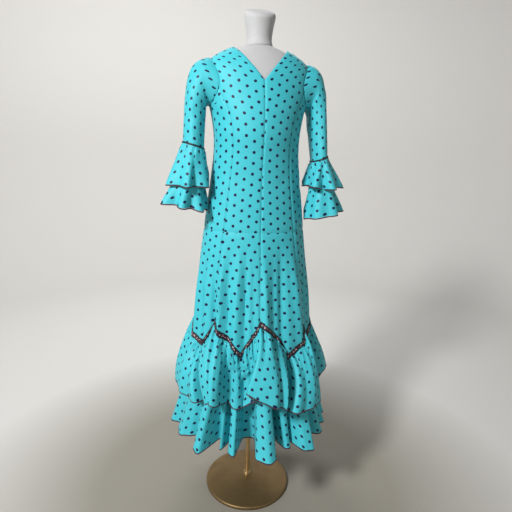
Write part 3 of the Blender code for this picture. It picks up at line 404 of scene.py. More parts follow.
# soft folds that open downwards from the hips; foot is the seam number at 0.70 m, and troughs are below 0
hangingFolds = rowsOf(("at", "foot", "top", "width", "depth"), [
    (-1.38, -1.25, 0.930, 0.075, 0.0085), (-1.14, -1.03, 0.930, 0.055, -0.0120),
    (-0.90, -0.84, 0.960, 0.055, 0.0115), (-0.74, -0.67, 0.955, 0.060, -0.0090),
    (-0.50, -0.49, 0.970, 0.080, 0.0095), (-0.33, -0.31, 0.955, 0.060, -0.0095),
    (-0.17, -0.14, 0.930, 0.060, -0.0045), (0.10, 0.12, 0.950, 0.060, 0.0090),
    (0.31, 0.31, 0.940, 0.065, -0.0065), (0.52, 0.50, 0.965, 0.085, -0.0115),
    (0.82, 0.94, 0.970, 0.120, 0.0110), (1.26, 1.36, 0.950, 0.100, -0.0100),
    (1.62, 1.74, 0.930, 0.100, 0.0068), (1.95, 1.98, 0.900, 0.080, -0.0056),
    (-1.58, -1.42, 0.930, 0.075, -0.0130), (-1.82, -1.76, 0.940, 0.090, 0.0065),
    (-2.08, -2.10, 0.900, 0.080, -0.0062), (-2.34, -2.40, 0.950, 0.100, 0.0074),
    (-2.62, -2.66, 0.920, 0.080, -0.0071), (-2.90, -2.88, 0.960, 0.090, 0.0068),
    (-3.18, -3.20, 0.930, 0.070, -0.0065), (-3.42, -3.46, 0.960, 0.090, 0.0074),
    (-3.72, -3.74, 0.940, 0.080, -0.0068), (4.00, 4.02, 0.960, 0.080, 0.0056),
    (3.74, 3.72, 0.930, 0.080, -0.0071), (3.46, 3.42, 0.960, 0.100, 0.0078),
    (3.16, 3.12, 0.930, 0.070, -0.0056), (2.86, 2.90, 0.950, 0.090, 0.0068),
    (2.56, 2.60, 0.920, 0.080, -0.0074), (2.28, 2.30, 0.940, 0.090, 0.0068),
])

# short creases where the bodice is taken in at the waist; lean is in seam numbers over the crease's length
waistCreases = rowsOf(("at", "top", "length", "width", "lean", "depth"), [
    (0.80, 1.170, 0.060, 0.20, -0.30, -0.0012), (-0.80, 1.165, 0.055, 0.20, 0.30, -0.0012),
    (1.60, 1.150, 0.050, 0.25, 0.30, -0.0016), (-1.60, 1.155, 0.050, 0.25, -0.30, -0.0016),
    (1.25, 1.130, 0.045, 0.22, 0.25, 0.0012), (-1.30, 1.125, 0.045, 0.22, -0.25, 0.0012),
    (2.70, 1.160, 0.055, 0.30, 0.25, -0.0018), (-2.70, 1.150, 0.060, 0.30, -0.25, -0.0018),
    (3.60, 1.145, 0.050, 0.30, 0.10, -0.0016), (-3.50, 1.165, 0.055, 0.30, -0.10, -0.0016),
    (1.55, 1.360, 0.075, 0.20, -0.40, -0.0020), (-1.55, 1.355, 0.070, 0.20, 0.40, -0.0020),
    (1.35, 1.330, 0.060, 0.16, -0.35, 0.0014), (-1.38, 1.325, 0.060, 0.16, 0.35, 0.0014),
])


def hangingRelief(marks, heights):  # works on one place or on whole grids
    total = 0.0 * marks
    for fold in hangingFolds:
        centre = fold["at"] + (fold["foot"] - fold["at"]) * (fold["top"] - heights) / (fold["top"] - 0.70)
        away = (marks - centre + 4) % 8 - 4
        opening = np.clip((fold["top"] - heights) / 0.20, 0, 1)  # each fold opens over 0.20 m below its top
        closing = np.clip((heights - 0.56) / 0.05, 0, 1)
        fade = opening * opening * (3 - 2 * opening) * closing
        total = total + fold["depth"] * fade * np.exp(-((away / fold["width"]) ** 2))
    return total


# grain is the turn of the cloth's grain, and dot the seam number and height at which one of its dots lies
panelCuts = {
    "bodice_front_right": {"grain": 0, "dot": (-0.53, 1.0150)},
    "bodice_front_left": {"grain": 0, "dot": (0.45, 1.0297)},
    "bodice_side_front_right": {"grain": 0, "dot": (-1.22, 1.0387)},
    "bodice_side_front_left": {"grain": 0, "dot": (1.15, 1.0413)},
    "bodice_side_back_right": {"grain": 0, "dot": (-2.50, 1.100)},
    "bodice_side_back_left": {"grain": 0, "dot": (2.40, 1.110)},
    "bodice_back_right": {"grain": 0, "dot": (-3.50, 1.100)},
    "bodice_back_left": {"grain": 0, "dot": (3.40, 1.090)},
    "skirt_front_right": {"grain": 78, "dot": (-0.45, 0.8196)},
    "skirt_front_left": {"grain": 90, "dot": (0.26, 0.7877)},
    "skirt_side_front_right": {"grain": 0, "dot": (-1.43, 0.8538)},
    "skirt_side_front_left": {"grain": 0, "dot": (1.35, 0.800)},
    "skirt_side_back_right": {"grain": 0, "dot": (-2.50, 0.800)},
    "skirt_side_back_left": {"grain": 0, "dot": (2.50, 0.810)},
    "skirt_back_right": {"grain": 90, "dot": (-3.50, 0.800)},
    "skirt_back_left": {"grain": 78, "dot": (3.50, 0.790)},
}


def frontNeck(z):
    return line(neckFrontRows, "z", "angle", z) if z > neckFrontRows[0]["z"] else 0.0


def backNeck(z):
    return 180 - line(neckBackRows, "z", "angle", z) if z > neckBackRows[0]["z"] else 180.0


def edgeAbove(princess, z):  # from the princess seam's top the armhole is the panel's edge
    if z <= princessTop:
        return princess
    if z >= armhole["z"]:
        return armholeAngle(z)
    share = (z - princessTop) / (armhole["z"] - princessTop)
    return armhole["lowAngle"] + (armhole["highAngle"] - armhole["lowAngle"]) * share


def frontPrincess(z):
    return edgeAbove(ramp(princessRows, "z", "front", z), z)


def backArmhole(z):
    return 180 - armholeAngle(z)


def backPrincess(z):
    return 180 - edgeAbove(ramp(princessRows, "z", "back", z), z)


def heightsBetween(low, high):
    steps = max(2, round((high - low) / panelSettings["rowStep"]))
    return [low + (high - low) * k / steps for k in range(steps + 1)]


def panelGrid(side, heights, leftEdge, rightEdge, seams):
    columns = panelSettings["columns"]
    grid = np.zeros((len(heights), columns + 1, 3))
    marks = np.zeros((len(heights), columns + 1))
    for r, z in enumerate(heights):
        start, end = leftEdge(z), rightEdge(z)
        for c in range(columns + 1):
            wave = math.cos(math.pi * c / columns)
            f = 0.5 - 0.5 * wave * (0.75 + 0.25 * wave**2)  # columns are closer near the seams
            seam = seams[0] * (1 - f) + seams[1] * f
            grid[r, c] = bodyPoint(side * (start * (1 - f) + end * f), z, side * seam)
            marks[r, c] = side * seam
    if side < 0:
        grid, marks = grid[:, ::-1], marks[:, ::-1]
    return grid, marks


def unrolled(grid):  # flat cut of a flared gore, its rows bent about the point where its edges would meet
    across = lengthsAlong(grid, 1)
    across -= across[:, -1:] / 2
    middle = grid[:, [grid.shape[1] // 2]]
    along = lengthsAlong(middle, 0)
    width = np.maximum(lengthsAlong(grid, 1)[:, -1], 0.01)
    flare = np.clip(-np.gradient(width, along[:, 0]) / width, -1.2, 1.2)
    flare = np.where(np.abs(flare) < 0.02, 0.02, flare)[:, None]
    return np.stack([np.sin(across * flare) / flare, along + (1 - np.cos(across * flare)) / flare], axis=2)


def makePanel(name, side, heights, leftEdge, rightEdge, seams):
    s = panelSettings
    grid, marks = panelGrid(side, heights, leftEdge, rightEdge, seams)
    levels = np.repeat(np.array(heights)[:, None], grid.shape[1], axis=1)
    uv = unrolled(grid)
    across = lengthsAlong(grid, 1)
    fromEdge = np.minimum(across, across[:, -1:] - across)
    fromHip = np.abs(levels - hipSeam)
    relief = creaseRelief(waistCreases, marks, levels, 8.0) + hangingRelief(marks, levels)
    relief -= s["seamRoll"] * np.exp(-((fromEdge / s["rollWidth"]) ** 2))
    relief -= s["seamRoll"] * np.exp(-((fromHip / s["rollWidth"]) ** 2))
    ripple = np.sin(levels / s["puckerLength"] * 2 * math.pi + np.sin(levels * 90) * 1.3)
    relief += s["pucker"] * ripple * np.exp(-fromEdge / s["puckerFade"])
    around = np.sin(across / s["puckerLength"] * 2 * math.pi + np.sin(across * 70) * 1.3)
    relief += s["pucker"] * around * np.exp(-fromHip / s["puckerFade"])
    grid = grid + gridNormals(grid, False) * relief[..., None]
    for edge, beside in ((0, 1), (-1, -2)):  # neighbouring panels stay a hair apart
        inward = grid[:, beside] - grid[:, edge]
        grid[:, edge] += inward / np.maximum(np.linalg.norm(inward, axis=1, keepdims=True), 1e-9) * s["gap"]
    cut = panelCuts[name]
    row = int(np.argmin(np.abs(np.array(heights) - cut["dot"][1])))
    column = int(np.argmin(np.abs(marks[row] - cut["dot"][0])))
    uv = layLattice(uv, cut["grain"], row, column)
    made = objectFromGrid(name + "_cloth", grid, uv, False, crepe, clothWall)
    declareCloth(made, name)


skirtRows = heightsBetween(skirtBottom, hipSeam - panelSettings["gap"])
aboveHip = hipSeam + panelSettings["gap"]
sideRows = heightsBetween(aboveHip, 1.360) + [1.3652, 1.3665, 1.3700, 1.3760, 1.3840, 1.3940, 1.4050]
centreRows = heightsBetween(aboveHip, 1.4310) + heightsBetween(1.4360, 1.5320)
for side, word in ((-1, "right"), (1, "left")):
    for part, centres, sides in (("skirt", skirtRows, skirtRows), ("bodice", centreRows, sideRows)):
        makePanel(f"{part}_front_{word}", side, centres, frontNeck, frontPrincess, (0, 1))
        makePanel(f"{part}_side_front_{word}", side, sides, frontPrincess, armholeAngle, (1, 2))
        makePanel(f"{part}_side_back_{word}", side, sides, backArmhole, backPrincess, (2, 3))
        makePanel(f"{part}_back_{word}", side, centres, backPrincess, backNeck, (3, 4))
print("bodice and skirt made")


def foldsAt(table, turn, at):  # reach, lean and rise, from crest to hollow and back
    place = at if at >= table[0]["at"] else at + turn
    for k, row in enumerate(table):
        follower = table[(k + 1) % len(table)]
        end = follower["at"] + (turn if k == len(table) - 1 else 0)
        if row["at"] <= place <= end:
            f = 0.5 - 0.5 * math.cos(math.pi * (place - row["at"]) / (end - row["at"]))
            return [row[c] * (1 - f) + follower[c] * f for c in ("out", "lean", "rise")]
    return [0.0, 0.0, 0.0]


def foldMarks(table, turn, samples):
    marks = []
    for k, row in enumerate(table):
        end = table[(k + 1) % len(table)]["at"] + (turn if k == len(table) - 1 else 0)
        marks += [row["at"] + (end - row["at"]) * n / samples for n in range(samples)]
    return marks


def evenedAcross(grid, marks, turn, step, softness):  # even columns, and folds rounded more towards the hem
    g = np.concatenate([grid, grid[:, :1]], axis=1)
    mean = lengthsAlong(g[: max(2, len(g) * 2 // 3)], 1).mean(axis=0)
    count = int(round(mean[-1] / step))
    places = np.linspace(0, mean[-1], count, endpoint=False)
    even = np.stack([np.stack([np.interp(places, mean, row[:, k]) for k in range(3)], axis=1) for row in g])
    evenMarks = np.interp(places, mean, list(marks) + [marks[0] + turn])
    share = 1 - np.linspace(0, 1, len(g))
    sigma = softness * np.minimum(1, share * 2.5) / step
    cycles = np.fft.fftfreq(count)
    damping = np.exp(-2 * (math.pi * sigma[:, None] * cycles[None]) ** 2)
    return np.real(np.fft.ifft(np.fft.fft(even, axis=1) * damping[..., None], axis=1)), evenMarks


def stripUv(grid, hollows):  # up from the hem by each column's length, and across by each wave's own length
    g = np.concatenate([grid, grid[:, :1]], axis=1)
    own = lengthsAlong(g, 1)
    mean = own[: max(2, len(g) * 2 // 3)].mean(axis=0)
    across = np.repeat(mean[None], len(g), axis=0)
    ends = [0] + [h for h in hollows if 0 < h < len(mean) - 1] + [len(mean) - 1]
    for a, b in zip(ends[:-1], ends[1:]):
        place = np.linspace(0, 1, b - a + 1)
        hold = np.clip(4.0 * np.minimum(place, 1 - place), 0, 1)
        hold = hold * hold * (3 - 2 * hold)
        middle = (a + b) // 2
        extra = (own[:, a : b + 1] - own[:, middle : middle + 1]) - (mean[a : b + 1] - mean[middle])
        across[:, a : b + 1] += extra * hold * 0.85
    return np.stack([across, lengthsAlong(g, 0)], axis=2)


def hollowsOf(table, marks):  # the columns where a strip lies deepest
    deep = []
    for k, row in enumerate(table):
        before, after = table[k - 1], table[(k + 1) % len(table)]
        if row["out"] <= before["out"] and row["out"] < after["out"]:
            deep.append(int(np.argmin(np.abs(np.array(marks) - row["at"]))))
    return sorted(deep)


def sleeveUv(grid, middle):  # a sleeve's grain runs down its front, and its seam is at the back of the arm
    g = np.concatenate([grid, grid[:, :1]], axis=1)
    across = lengthsAlong(g, 1)
    return np.stack([across - across[:, middle : middle + 1], lengthsAlong(g, 0)], axis=2)


def gatherRelief(gathers, across, topDown, tuck):  # seeded small pleats that fan out below the gathering
    rng = random.Random(gathers["seed"])
    total = np.zeros((len(topDown), len(across) if across.ndim == 1 else across.shape[1]))
    length = float(across.max())
    place = 0.0
    while place < length:
        width = rng.uniform(*gathers["width"])
        reach = rng.uniform(*gathers["length"])
        depth = gathers["depth"] * rng.uniform(0.5, 1.3) * rng.choice((-1, 1))
        drift = rng.uniform(-0.15, 0.15) * reach
        fade = np.exp(-((topDown / reach) ** 2)) * np.clip((topDown - tuck) / 0.008, 0, 1)
        away = across - place - drift * topDown / reach
        away = (away + length / 2) % length - length / 2
        total = total + depth * fade * np.exp(-((away / (width * (0.35 + topDown / reach * 0.35))) ** 2))
        place += width * rng.uniform(0.6, 1.3)
    return total


def ribbonUv(lengths, ups):
    return np.stack(np.broadcast_arrays(np.asarray(lengths)[None, :], np.asarray(ups)[:, None]), axis=2)


bindingSettings = {"height": 0.0040, "thickness": 0.0023, "drop": 0.0004, "sides": 10}


def bindHem(node, cloth):  # a narrow tube along the lowest row of a gathered strip
    s = bindingSettings
    hem = cloth[0]
    along = np.roll(hem, -1, axis=0) - np.roll(hem, 1, axis=0)
    along /= np.linalg.norm(along, axis=1, keepdims=True)
    drop = hem - cloth[1]
    drop /= np.maximum(np.linalg.norm(drop, axis=1, keepdims=True), 1e-9)
    below = drop - along * (drop * along).sum(axis=1, keepdims=True)
    below /= np.maximum(np.linalg.norm(below, axis=1, keepdims=True), 1e-9)
    out = np.cross(along, below)
    out *= np.sign((out * gridNormals(cloth, True)[0]).sum(axis=1, keepdims=True) + 1e-9)
    loop = np.concatenate([hem, hem[:1]])
    lengths = np.concatenate([[0], np.cumsum(np.linalg.norm(np.diff(loop, axis=0), axis=1))])
    middle = hem + below * (s["drop"] + s["height"] / 2)
    ripple = 1 + 0.05 * np.sin(lengths[:-1] * 900)[:, None]
    rows = []
    for k in range(s["sides"]):
        t = 2 * math.pi * k / s["sides"]
        outward = out * math.sin(t) * s["thickness"] / 2 * ripple
        rows.append(middle + below * math.cos(t) * s["height"] / 2 - outward)
    uv = ribbonUv(lengths, np.linspace(0, s["height"] * 2, s["sides"] + 1))
    made = objectFromGrid(node + "_edge", np.stack(rows + rows[:1]), uv, True, boundEdge)
    bpy.ops.object.mode_set(mode="EDIT")
    bpy.ops.mesh.select_all(action="SELECT")
    bpy.ops.mesh.remove_doubles(threshold=0.00001)
    bpy.ops.mesh.normals_make_consistent(inside=False)
    bpy.ops.object.mode_set(mode="OBJECT")
    standsFor(made, node + "_binding")
    return made


zigzagRows = rowsOf(("at", "z"), [
    (-4.0, 0.645), (-3.75, 0.603), (-3.5, 0.562), (-3.25, 0.606), (-3.0, 0.65),
    (-2.75, 0.606), (-2.52, 0.566), (-2.3, 0.624), (-2.12, 0.668), (-1.92, 0.624),
    (-1.55, 0.603), (-1.28, 0.588), (-1.09, 0.642), (-0.97, 0.684), (-0.88, 0.658),
    (-0.59, 0.624), (-0.37, 0.582), (-0.23, 0.622), (-0.08, 0.658), (0.0, 0.686),
    (0.19, 0.661), (0.5, 0.611), (0.6, 0.565), (0.78, 0.582), (1.0, 0.6), (1.12, 0.648),
    (1.26, 0.616), (1.48, 0.592), (1.76, 0.63), (1.96, 0.67), (2.24, 0.616), (2.5, 0.57),
    (2.75, 0.61), (3.0, 0.65), (3.26, 0.606), (3.5, 0.562), (3.76, 0.602), (4.0, 0.645),
])
upperFolds = rowsOf(("at", "out", "lean", "rise"), [
    (-2.12, 0.006, 0.06, -0.014), (-1.8, -0.002, 0.04, -0.018), (-1.58, 0.008, 0.08, -0.018),
    (-1.48, -0.006, 0.20, -0.017), (-1.42, 0.012, 0.28, -0.014), (-1.36, 0.018, 0.355, -0.012),
    (-1.30, -0.058, 0.365, -0.009), (-1.24, -0.066, 0.365, -0.006), (-1.165, 0.020, 0.345, -0.002),
    (-1.09, 0.026, 0.30, 0.006), (-0.95, 0.026, 0.20, 0.010), (-0.80, 0.028, 0.09, 0.006),
    (-0.70, 0.024, 0.05, 0.002), (-0.62, -0.078, 0.04, -0.014), (-0.49, -0.084, 0.03, -0.030),
    (-0.36, -0.086, 0.02, -0.030), (-0.15, -0.084, 0.04, -0.009), (-0.10, -0.026, 0.01, 0.004),
    (-0.05, -0.004, -0.19, 0.048), (0.01, 0.020, -0.25, 0.056), (0.1, 0.036, -0.12, 0.034),
    (0.19, 0.047, -0.06, 0.016), (0.26, 0.026, -0.04, 0.006), (0.34, 0.030, -0.06, 0.000),
    (0.42, 0.030, -0.12, -0.006), (0.50, -0.008, -0.20, -0.014), (0.56, -0.046, -0.22, -0.020),
    (0.63, 0.020, -0.25, -0.022), (0.7, 0.036, -0.26, -0.024), (0.80, 0.030, -0.22, -0.028),
    (0.9, 0.034, -0.2, -0.028), (1.12, 0.028, -0.18, -0.028), (1.3, -0.008, -0.14, -0.014),
    (1.52, -0.024, -0.06, 0.0), (1.76, 0.014, 0.0, 0.016), (2.0, 0.028, 0.0, 0.008), (2.26, 0.0, 0.0, -0.016),
    (2.5, -0.02, 0.0, -0.028), (2.76, 0.008, 0.0, -0.016), (3.0, 0.026, 0.0, 0.004), (3.24, 0.0, 0.0, -0.018),
    (3.5, -0.02, 0.0, -0.03), (3.78, 0.01, 0.0, -0.016), (4.0, 0.024, 0.0, 0.004), (4.27, 0.002, 0.0, -0.02),
    (4.5, -0.02, 0.0, -0.03), (4.74, 0.008, 0.0, -0.018), (5.0, 0.024, 0.0, 0.0), (5.26, 0.0, 0.0, -0.02),
    (5.48, -0.018, 0.0, -0.032), (5.68, 0.0, 0.02, -0.024),
])
lowerFolds = rowsOf(("at", "out", "lean", "rise"), [
    (-1.96, 0.019, 0.0, 0.0), (-1.8, -0.01, 0.0, 0.002), (-1.62, 0.004, 0.0, 0.0),
    (-1.46, 0.012, 0.0, -0.003), (-1.34, -0.006, 0.0, 0.0), (-1.20, -0.038, 0.0, 0.002),
    (-1.09, -0.030, 0.0, 0.002), (-0.99, 0.024, 0.0, -0.002), (-0.87, 0.036, 0.0, -0.004),
    (-0.785, -0.060, 0.0, 0.003), (-0.70, -0.060, 0.0, 0.003), (-0.63, -0.006, 0.0, 0.0),
    (-0.56, -0.062, 0.0, 0.003), (-0.48, 0.000, 0.0, -0.002), (-0.40, 0.012, 0.0, -0.003),
    (-0.32, -0.080, 0.0, 0.004), (-0.17, -0.084, 0.0, 0.003), (-0.10, -0.080, 0.04, 0.003),
    (-0.055, 0.026, -0.035, -0.001), (0.08, 0.048, -0.01, -0.004), (0.17, 0.034, 0.0, -0.002),
    (0.22, -0.064, 0.0, 0.004), (0.31, -0.072, 0.0, 0.004), (0.40, 0.002, 0.0, 0.0), (0.47, 0.000, 0.0, 0.0),
    (0.56, -0.044, -0.03, 0.004), (0.67, 0.040, -0.08, -0.001), (0.80, 0.050, -0.09, -0.004),
    (0.90, -0.024, -0.06, 0.003), (0.99, -0.024, -0.05, 0.003), (1.08, 0.020, -0.02, 0.0),
    (1.18, 0.02, 0.0, 0.0), (1.31, -0.016, 0.0, 0.003), (1.48, 0.018, 0.0, -0.002),
    (1.65, -0.014, 0.0, 0.002), (1.82, 0.018, 0.0, 0.0), (2.02, -0.014, 0.0, 0.002),
    (2.22, 0.018, 0.0, -0.002), (2.44, -0.018, 0.0, 0.003), (2.66, 0.024, 0.0, -0.004),
    (2.88, -0.02, 0.0, 0.002), (3.1, 0.022, 0.0, -0.004), (3.34, -0.022, 0.0, 0.003),
    (3.58, 0.024, 0.0, -0.004), (3.8, -0.018, 0.0, 0.002), (4.03, 0.026, 0.0, -0.005),
    (4.26, -0.02, 0.0, 0.003), (4.5, 0.018, 0.0, -0.003), (4.74, -0.022, 0.0, 0.002),
    (4.98, 0.026, 0.0, -0.005), (5.22, -0.018, 0.0, 0.003), (5.45, 0.02, 0.0, -0.003),
    (5.66, -0.014, 0.0, 0.002), (5.84, 0.01, 0.0, 0.0),
])

upperFlounce = {
    "half": 0.262, "front": 0.237, "back": 0.246, "z": 0.458, "hollows": 0.5, "crests": 0.75, "ease": 0.45,
    "swells": rowsOf(("at", "swell", "bulge"), [
        (-4.0, 2.0, 0.05), (-2.6, 2.0, 0.06), (-1.9, 1.75, 0.04), (-1.5, 1.85, 0.05), (-1.0, 2.0, 0.07),
        (0.5, 2.0, 0.06), (1.0, 1.60, 0.03), (1.25, 1.25, 0.0), (2.1, 1.15, 0.0), (2.7, 1.8, 0.04),
        (4.0, 2.0, 0.05),
    ]),
    "samples": 9, "rows": 40, "tuck": 0.004, "hug": 0.022, "step": 0.0042, "softness": 0.0036,
    "gathers": {"seed": 11, "width": (0.008, 0.016), "length": (0.030, 0.110), "depth": 0.0046},
    "grain": 0, "dot": (0.10, 0.5),
    "creases": rowsOf(("at", "top", "length", "width", "lean", "depth"), [
        (1.62, 0.69, 0.15, 0.240, 0.00, -0.012), (-1.62, 0.62, 0.16, 0.050, 0.00, 0.004),
        (-1.22, 0.66, 0.22, 0.040, -0.02, 0.005), (-0.86, 0.69, 0.20, 0.040, 0.02, -0.004),
        (-0.78, 0.66, 0.22, 0.035, 0.02, 0.004), (-0.56, 0.66, 0.08, 0.026, 0.00, 0.010),
        (-0.47, 0.64, 0.10, 0.022, -0.02, -0.008), (-0.42, 0.66, 0.09, 0.020, -0.02, 0.011),
        (-0.34, 0.66, 0.24, 0.040, 0.00, -0.013),
        (-0.28, 0.66, 0.30, 0.028, -0.12, 0.008), (-0.20, 0.66, 0.22, 0.030, 0.00, -0.005),
        (0.06, 0.68, 0.10, 0.025, 0.00, -0.002), (0.14, 0.68, 0.10, 0.025, 0.02, 0.002),
        (0.255, 0.68, 0.30, 0.030, 0.00, -0.005), (0.36, 0.66, 0.28, 0.030, 0.00, 0.004),
        (0.66, 0.66, 0.26, 0.040, 0.02, 0.003), (0.80, 0.66, 0.26, 0.036, 0.02, -0.004),
        (0.95, 0.64, 0.20, 0.040, 0.00, 0.004), (1.38, 0.66, 0.20, 0.060, 0.00, -0.005),
        (1.90, 0.66, 0.18, 0.060, 0.02, 0.004), (2.15, 0.68, 0.20, 0.050, 0.00, -0.006),
        (2.62, 0.66, 0.20, 0.060, 0.03, 0.005), (2.92, 0.68, 0.22, 0.045, -0.02, -0.006),
        (3.20, 0.66, 0.18, 0.050, 0.02, 0.004), (3.62, 0.66, 0.22, 0.050, 0.00, 0.005),
        (3.90, 0.68, 0.20, 0.040, 0.02, -0.006), (4.18, 0.66, 0.16, 0.050, 0.00, 0.004),
        (4.62, 0.66, 0.20, 0.050, -0.02, 0.005), (4.90, 0.68, 0.24, 0.045, 0.00, -0.006),
        (5.20, 0.66, 0.18, 0.055, 0.02, 0.004), (5.62, 0.66, 0.20, 0.050, 0.00, -0.005),
    ]),
}
lowerFlounce = {
    "half": 0.264, "front": 0.236, "back": 0.246, "z": 0.290, "hollows": 0.7, "crests": 0.85, "ease": 0.0,
    "swells": rowsOf(("at", "swell", "bulge"), [(-4.0, 0.88, 0.0), (4.0, 0.88, 0.0)]),
    "samples": 8, "rows": 30, "tuck": 0.0, "hug": 0.0, "step": 0.0045, "softness": 0.0044,
    "gathers": {"seed": 23, "width": (0.012, 0.026), "length": (0.050, 0.190), "depth": 0.0036},
    "grain": 0, "dot": (0.10, 0.8), "creases": [],
}


def clearOfBody(point, margin):
    if point.z < bodyRows[0]["z"] or point.z > 1.36:
        return point
    t = math.atan2(point.x, -point.y)
    half = ramp(bodyRows, "z", "half", point.z)
    depth = ramp(bodyRows, "z", "front" if point.y < 0 else "back", point.z)
    reach = 1 / math.hypot(math.sin(t) / half, math.cos(t) / depth) + margin
    flat = math.hypot(point.x, point.y)
    return point if flat >= reach else Vector((point.x * reach / flat, point.y * reach / flat, point.z))


def zigzagHeight(seam):
    return line(zigzagRows, "at", "z", (seam + 4) % 8 - 4)


def farthestOut(grid):  # the reach of a ring of cloth, for each of its rows and each degree round it
    reach = np.hypot(grid[..., 0], grid[..., 1])
    degree = (np.degrees(np.arctan2(grid[..., 0], -grid[..., 1])).astype(int) + 360) % 360
    table = np.zeros((len(grid), 360))
    for r in range(len(grid)):
        np.maximum.at(table[r], degree[r], reach[r])
    near = [np.roll(table, k, axis=1) for k in (-1, 0, 1)]
    return grid[..., 2].mean(axis=1), np.max(near, axis=0)


def liftedOver(grid, below, margin):  # pushes a ring of cloth out to where it lies over another one
    heights, table = below
    grid = grid.copy()
    degree = (np.degrees(np.arctan2(grid[..., 0], -grid[..., 1])).astype(int) + 360) % 360
    row = np.clip(np.searchsorted(heights, grid[..., 2]), 0, len(heights) - 1)
    flat = np.hypot(grid[..., 0], grid[..., 1])
    least = np.where(grid[..., 2] < heights[-1], table[row, degree] + margin, 0)
    grid[..., :2] *= (np.maximum(flat, least) / flat)[..., None]
    return grid


def makeFlounce(node, shape, table, topAt, below=None):
    marks = foldMarks(table, 8, shape["samples"])
    tops = [topAt(mark) for mark in marks]
    rows = []
    for n in range(shape["rows"] + 1):
        s = n / shape["rows"]
        free = max(0.0, s - shape["hug"]) / (1 - shape["hug"])  # the head lies flat under the band
        row = []
        for mark, top in zip(marks, tops):
            out, lean, rise = foldsAt(table, 8, mark)
            around = (mark + 4) % 8 - 4
            swell = 1 - (1 - free) ** line(shape["swells"], "at", "swell", around)
            swell += line(shape["swells"], "at", "bulge", around) * math.sin(math.pi * free)
            grow = free ** shape["crests"]
            if out < 0:  # hollows open early, and ease off towards the hem
                grow = free ** shape["hollows"] * (1 - shape["ease"] * free**3)
            turned = seamAngle(mark + lean * free**0.85, shape["z"])
            hem = oval(shape["half"], shape["front"], shape["back"], turned, shape["z"] + rise)
            outward = Vector((hem.x, hem.y, 0)).normalized()
            flat = top.lerp(hem, min(swell, 1.2)) + outward * out * grow
            point = Vector((flat.x, flat.y, top.z + (hem.z - top.z) * s))
            row.append(clearOfBody(point, 0.006 * min(1.0, 4 * free)) if n else point)
        rows.append(row)
    grid, marks = evenedAcross(np.array(rows[::-1]), marks, 8, shape["step"], shape["softness"])
    if below is not None:  # lay this flounce over the lower one, and smooth it where it was pushed out
        lowerReach = farthestOut(below)
        grid = liftedOver(grid, lowerReach, 0.006)
        share = np.minimum(1, np.linspace(1, 0, len(grid)) * 3)[:, None, None]
        for _ in range(3):
            around = (np.roll(grid, 1, axis=1) + np.roll(grid, -1, axis=1)) / 2
            grid = liftedOver(grid + (around - grid) * 0.5 * share, lowerReach, 0.004)
    uv = stripUv(grid, hollowsOf(table, marks))
    topDown = uv[-1, :-1, 1][None] - uv[:, :-1, 1]
    markGrid = np.repeat(marks[None], len(grid), axis=0)
    relief = gatherRelief(shape["gathers"], uv[:, :-1, 0], topDown, shape["tuck"])
    relief = relief + creaseRelief(shape["creases"], markGrid, grid[..., 2], 8.0)
    grid = grid + gridNormals(grid, True) * relief[..., None]
    row = int(len(grid) * (1 - shape["dot"][1]))
    column = int(np.argmin(np.abs(marks - shape["dot"][0])))
    uv = layLattice(uv, shape["grain"], row, column)
    made = objectFromGrid(node + "_cloth", grid, uv, True, crepe, clothWall)
    return made, grid, bindHem(node, grid)


def upperTop(mark):
    z = zigzagHeight(mark) + upperFlounce["tuck"]
    angle = seamAngle(mark, z)
    return bodyPoint(angle, z, mark) + bodyNormal(angle, z) * (0.0014 + float(hangingRelief(mark, z)))


def lowerTop(mark):
    return bodyPoint(seamAngle(mark, skirtBottom), skirtBottom, mark) - Vector((0, 0, 0.0006))


# profile is share of the height and rise: a piped lower edge, a puffed middle and a thinner piped upper edge
zigzagTrim = {
    "height": 0.019, "step": 0.0022, "ruche": 0.0055, "wall": 0.0006,
    "profile": [
        (0.00, 0.0000), (0.02, 0.0016), (0.10, 0.0026), (0.19, 0.0024), (0.25, 0.0009), (0.36, 0.0019),
        (0.50, 0.0024), (0.64, 0.0020), (0.74, 0.0009), (0.82, 0.0019), (0.92, 0.0021), (0.98, 0.0013),
        (1.00, 0.0000),
    ],
}


def makeZigzagTrim():
    s = zigzagTrim
    kinks = [row["at"] for row in zigzagRows[:-1]]
    marks = []
    for k, kink in enumerate(kinks):
        end = kinks[k + 1] if k + 1 < len(kinks) else kinks[0] + 8
        near = bodyPoint(seamAngle(kink, 0.62), zigzagHeight(kink))
        far = bodyPoint(seamAngle(end, 0.62), zigzagHeight(end))
        count = max(2, round((far - near).length / s["step"]))
        marks += [kink + (end - kink) * n / count for n in range(count)]
    lengths = [0.0]
    base = []
    normals = []
    for mark in marks:
        z = zigzagHeight(mark)
        angle = seamAngle(mark, z)
        base.append(bodyPoint(angle, z, mark))
        normals.append(bodyNormal(angle, z))
        if len(base) > 1:
            lengths.append(lengths[-1] + (base[-1] - base[-2]).length)
    lengths.append(lengths[-1] + (base[0] - base[-1]).length)
    rows = []
    for up, rise in s["profile"]:
        row = []
        for k, mark in enumerate(marks):
            ruche = math.sin(2 * math.pi * lengths[k] / s["ruche"] + math.sin(lengths[k] * 130) * 1.2)
            inner = math.exp(-(((up - 0.5) / 0.26) ** 2))
            wave = 0.0009 * ruche * (1 - inner) + 0.0006 * math.sin(lengths[k] * 410)
            z = zigzagHeight(mark) + up * s["height"] + wave
            angle = seamAngle(mark, z)
            puff = 0.0030 - 0.0014 * up + rise * (1 + 0.35 * inner * ruche)
            puff += float(hangingRelief(mark, z))
            row.append(bodyPoint(angle, z, mark) + bodyNormal(angle, z) * puff)
        rows.append(row)
    grid = np.array(rows)
    uv = ribbonUv(lengths, [up for up, _ in s["profile"]])
    made = objectFromGrid("zigzag_trim_ribbon", grid, uv, True, ribbon, s["wall"])
    standsFor(made, "zigzag_trim")
    return made


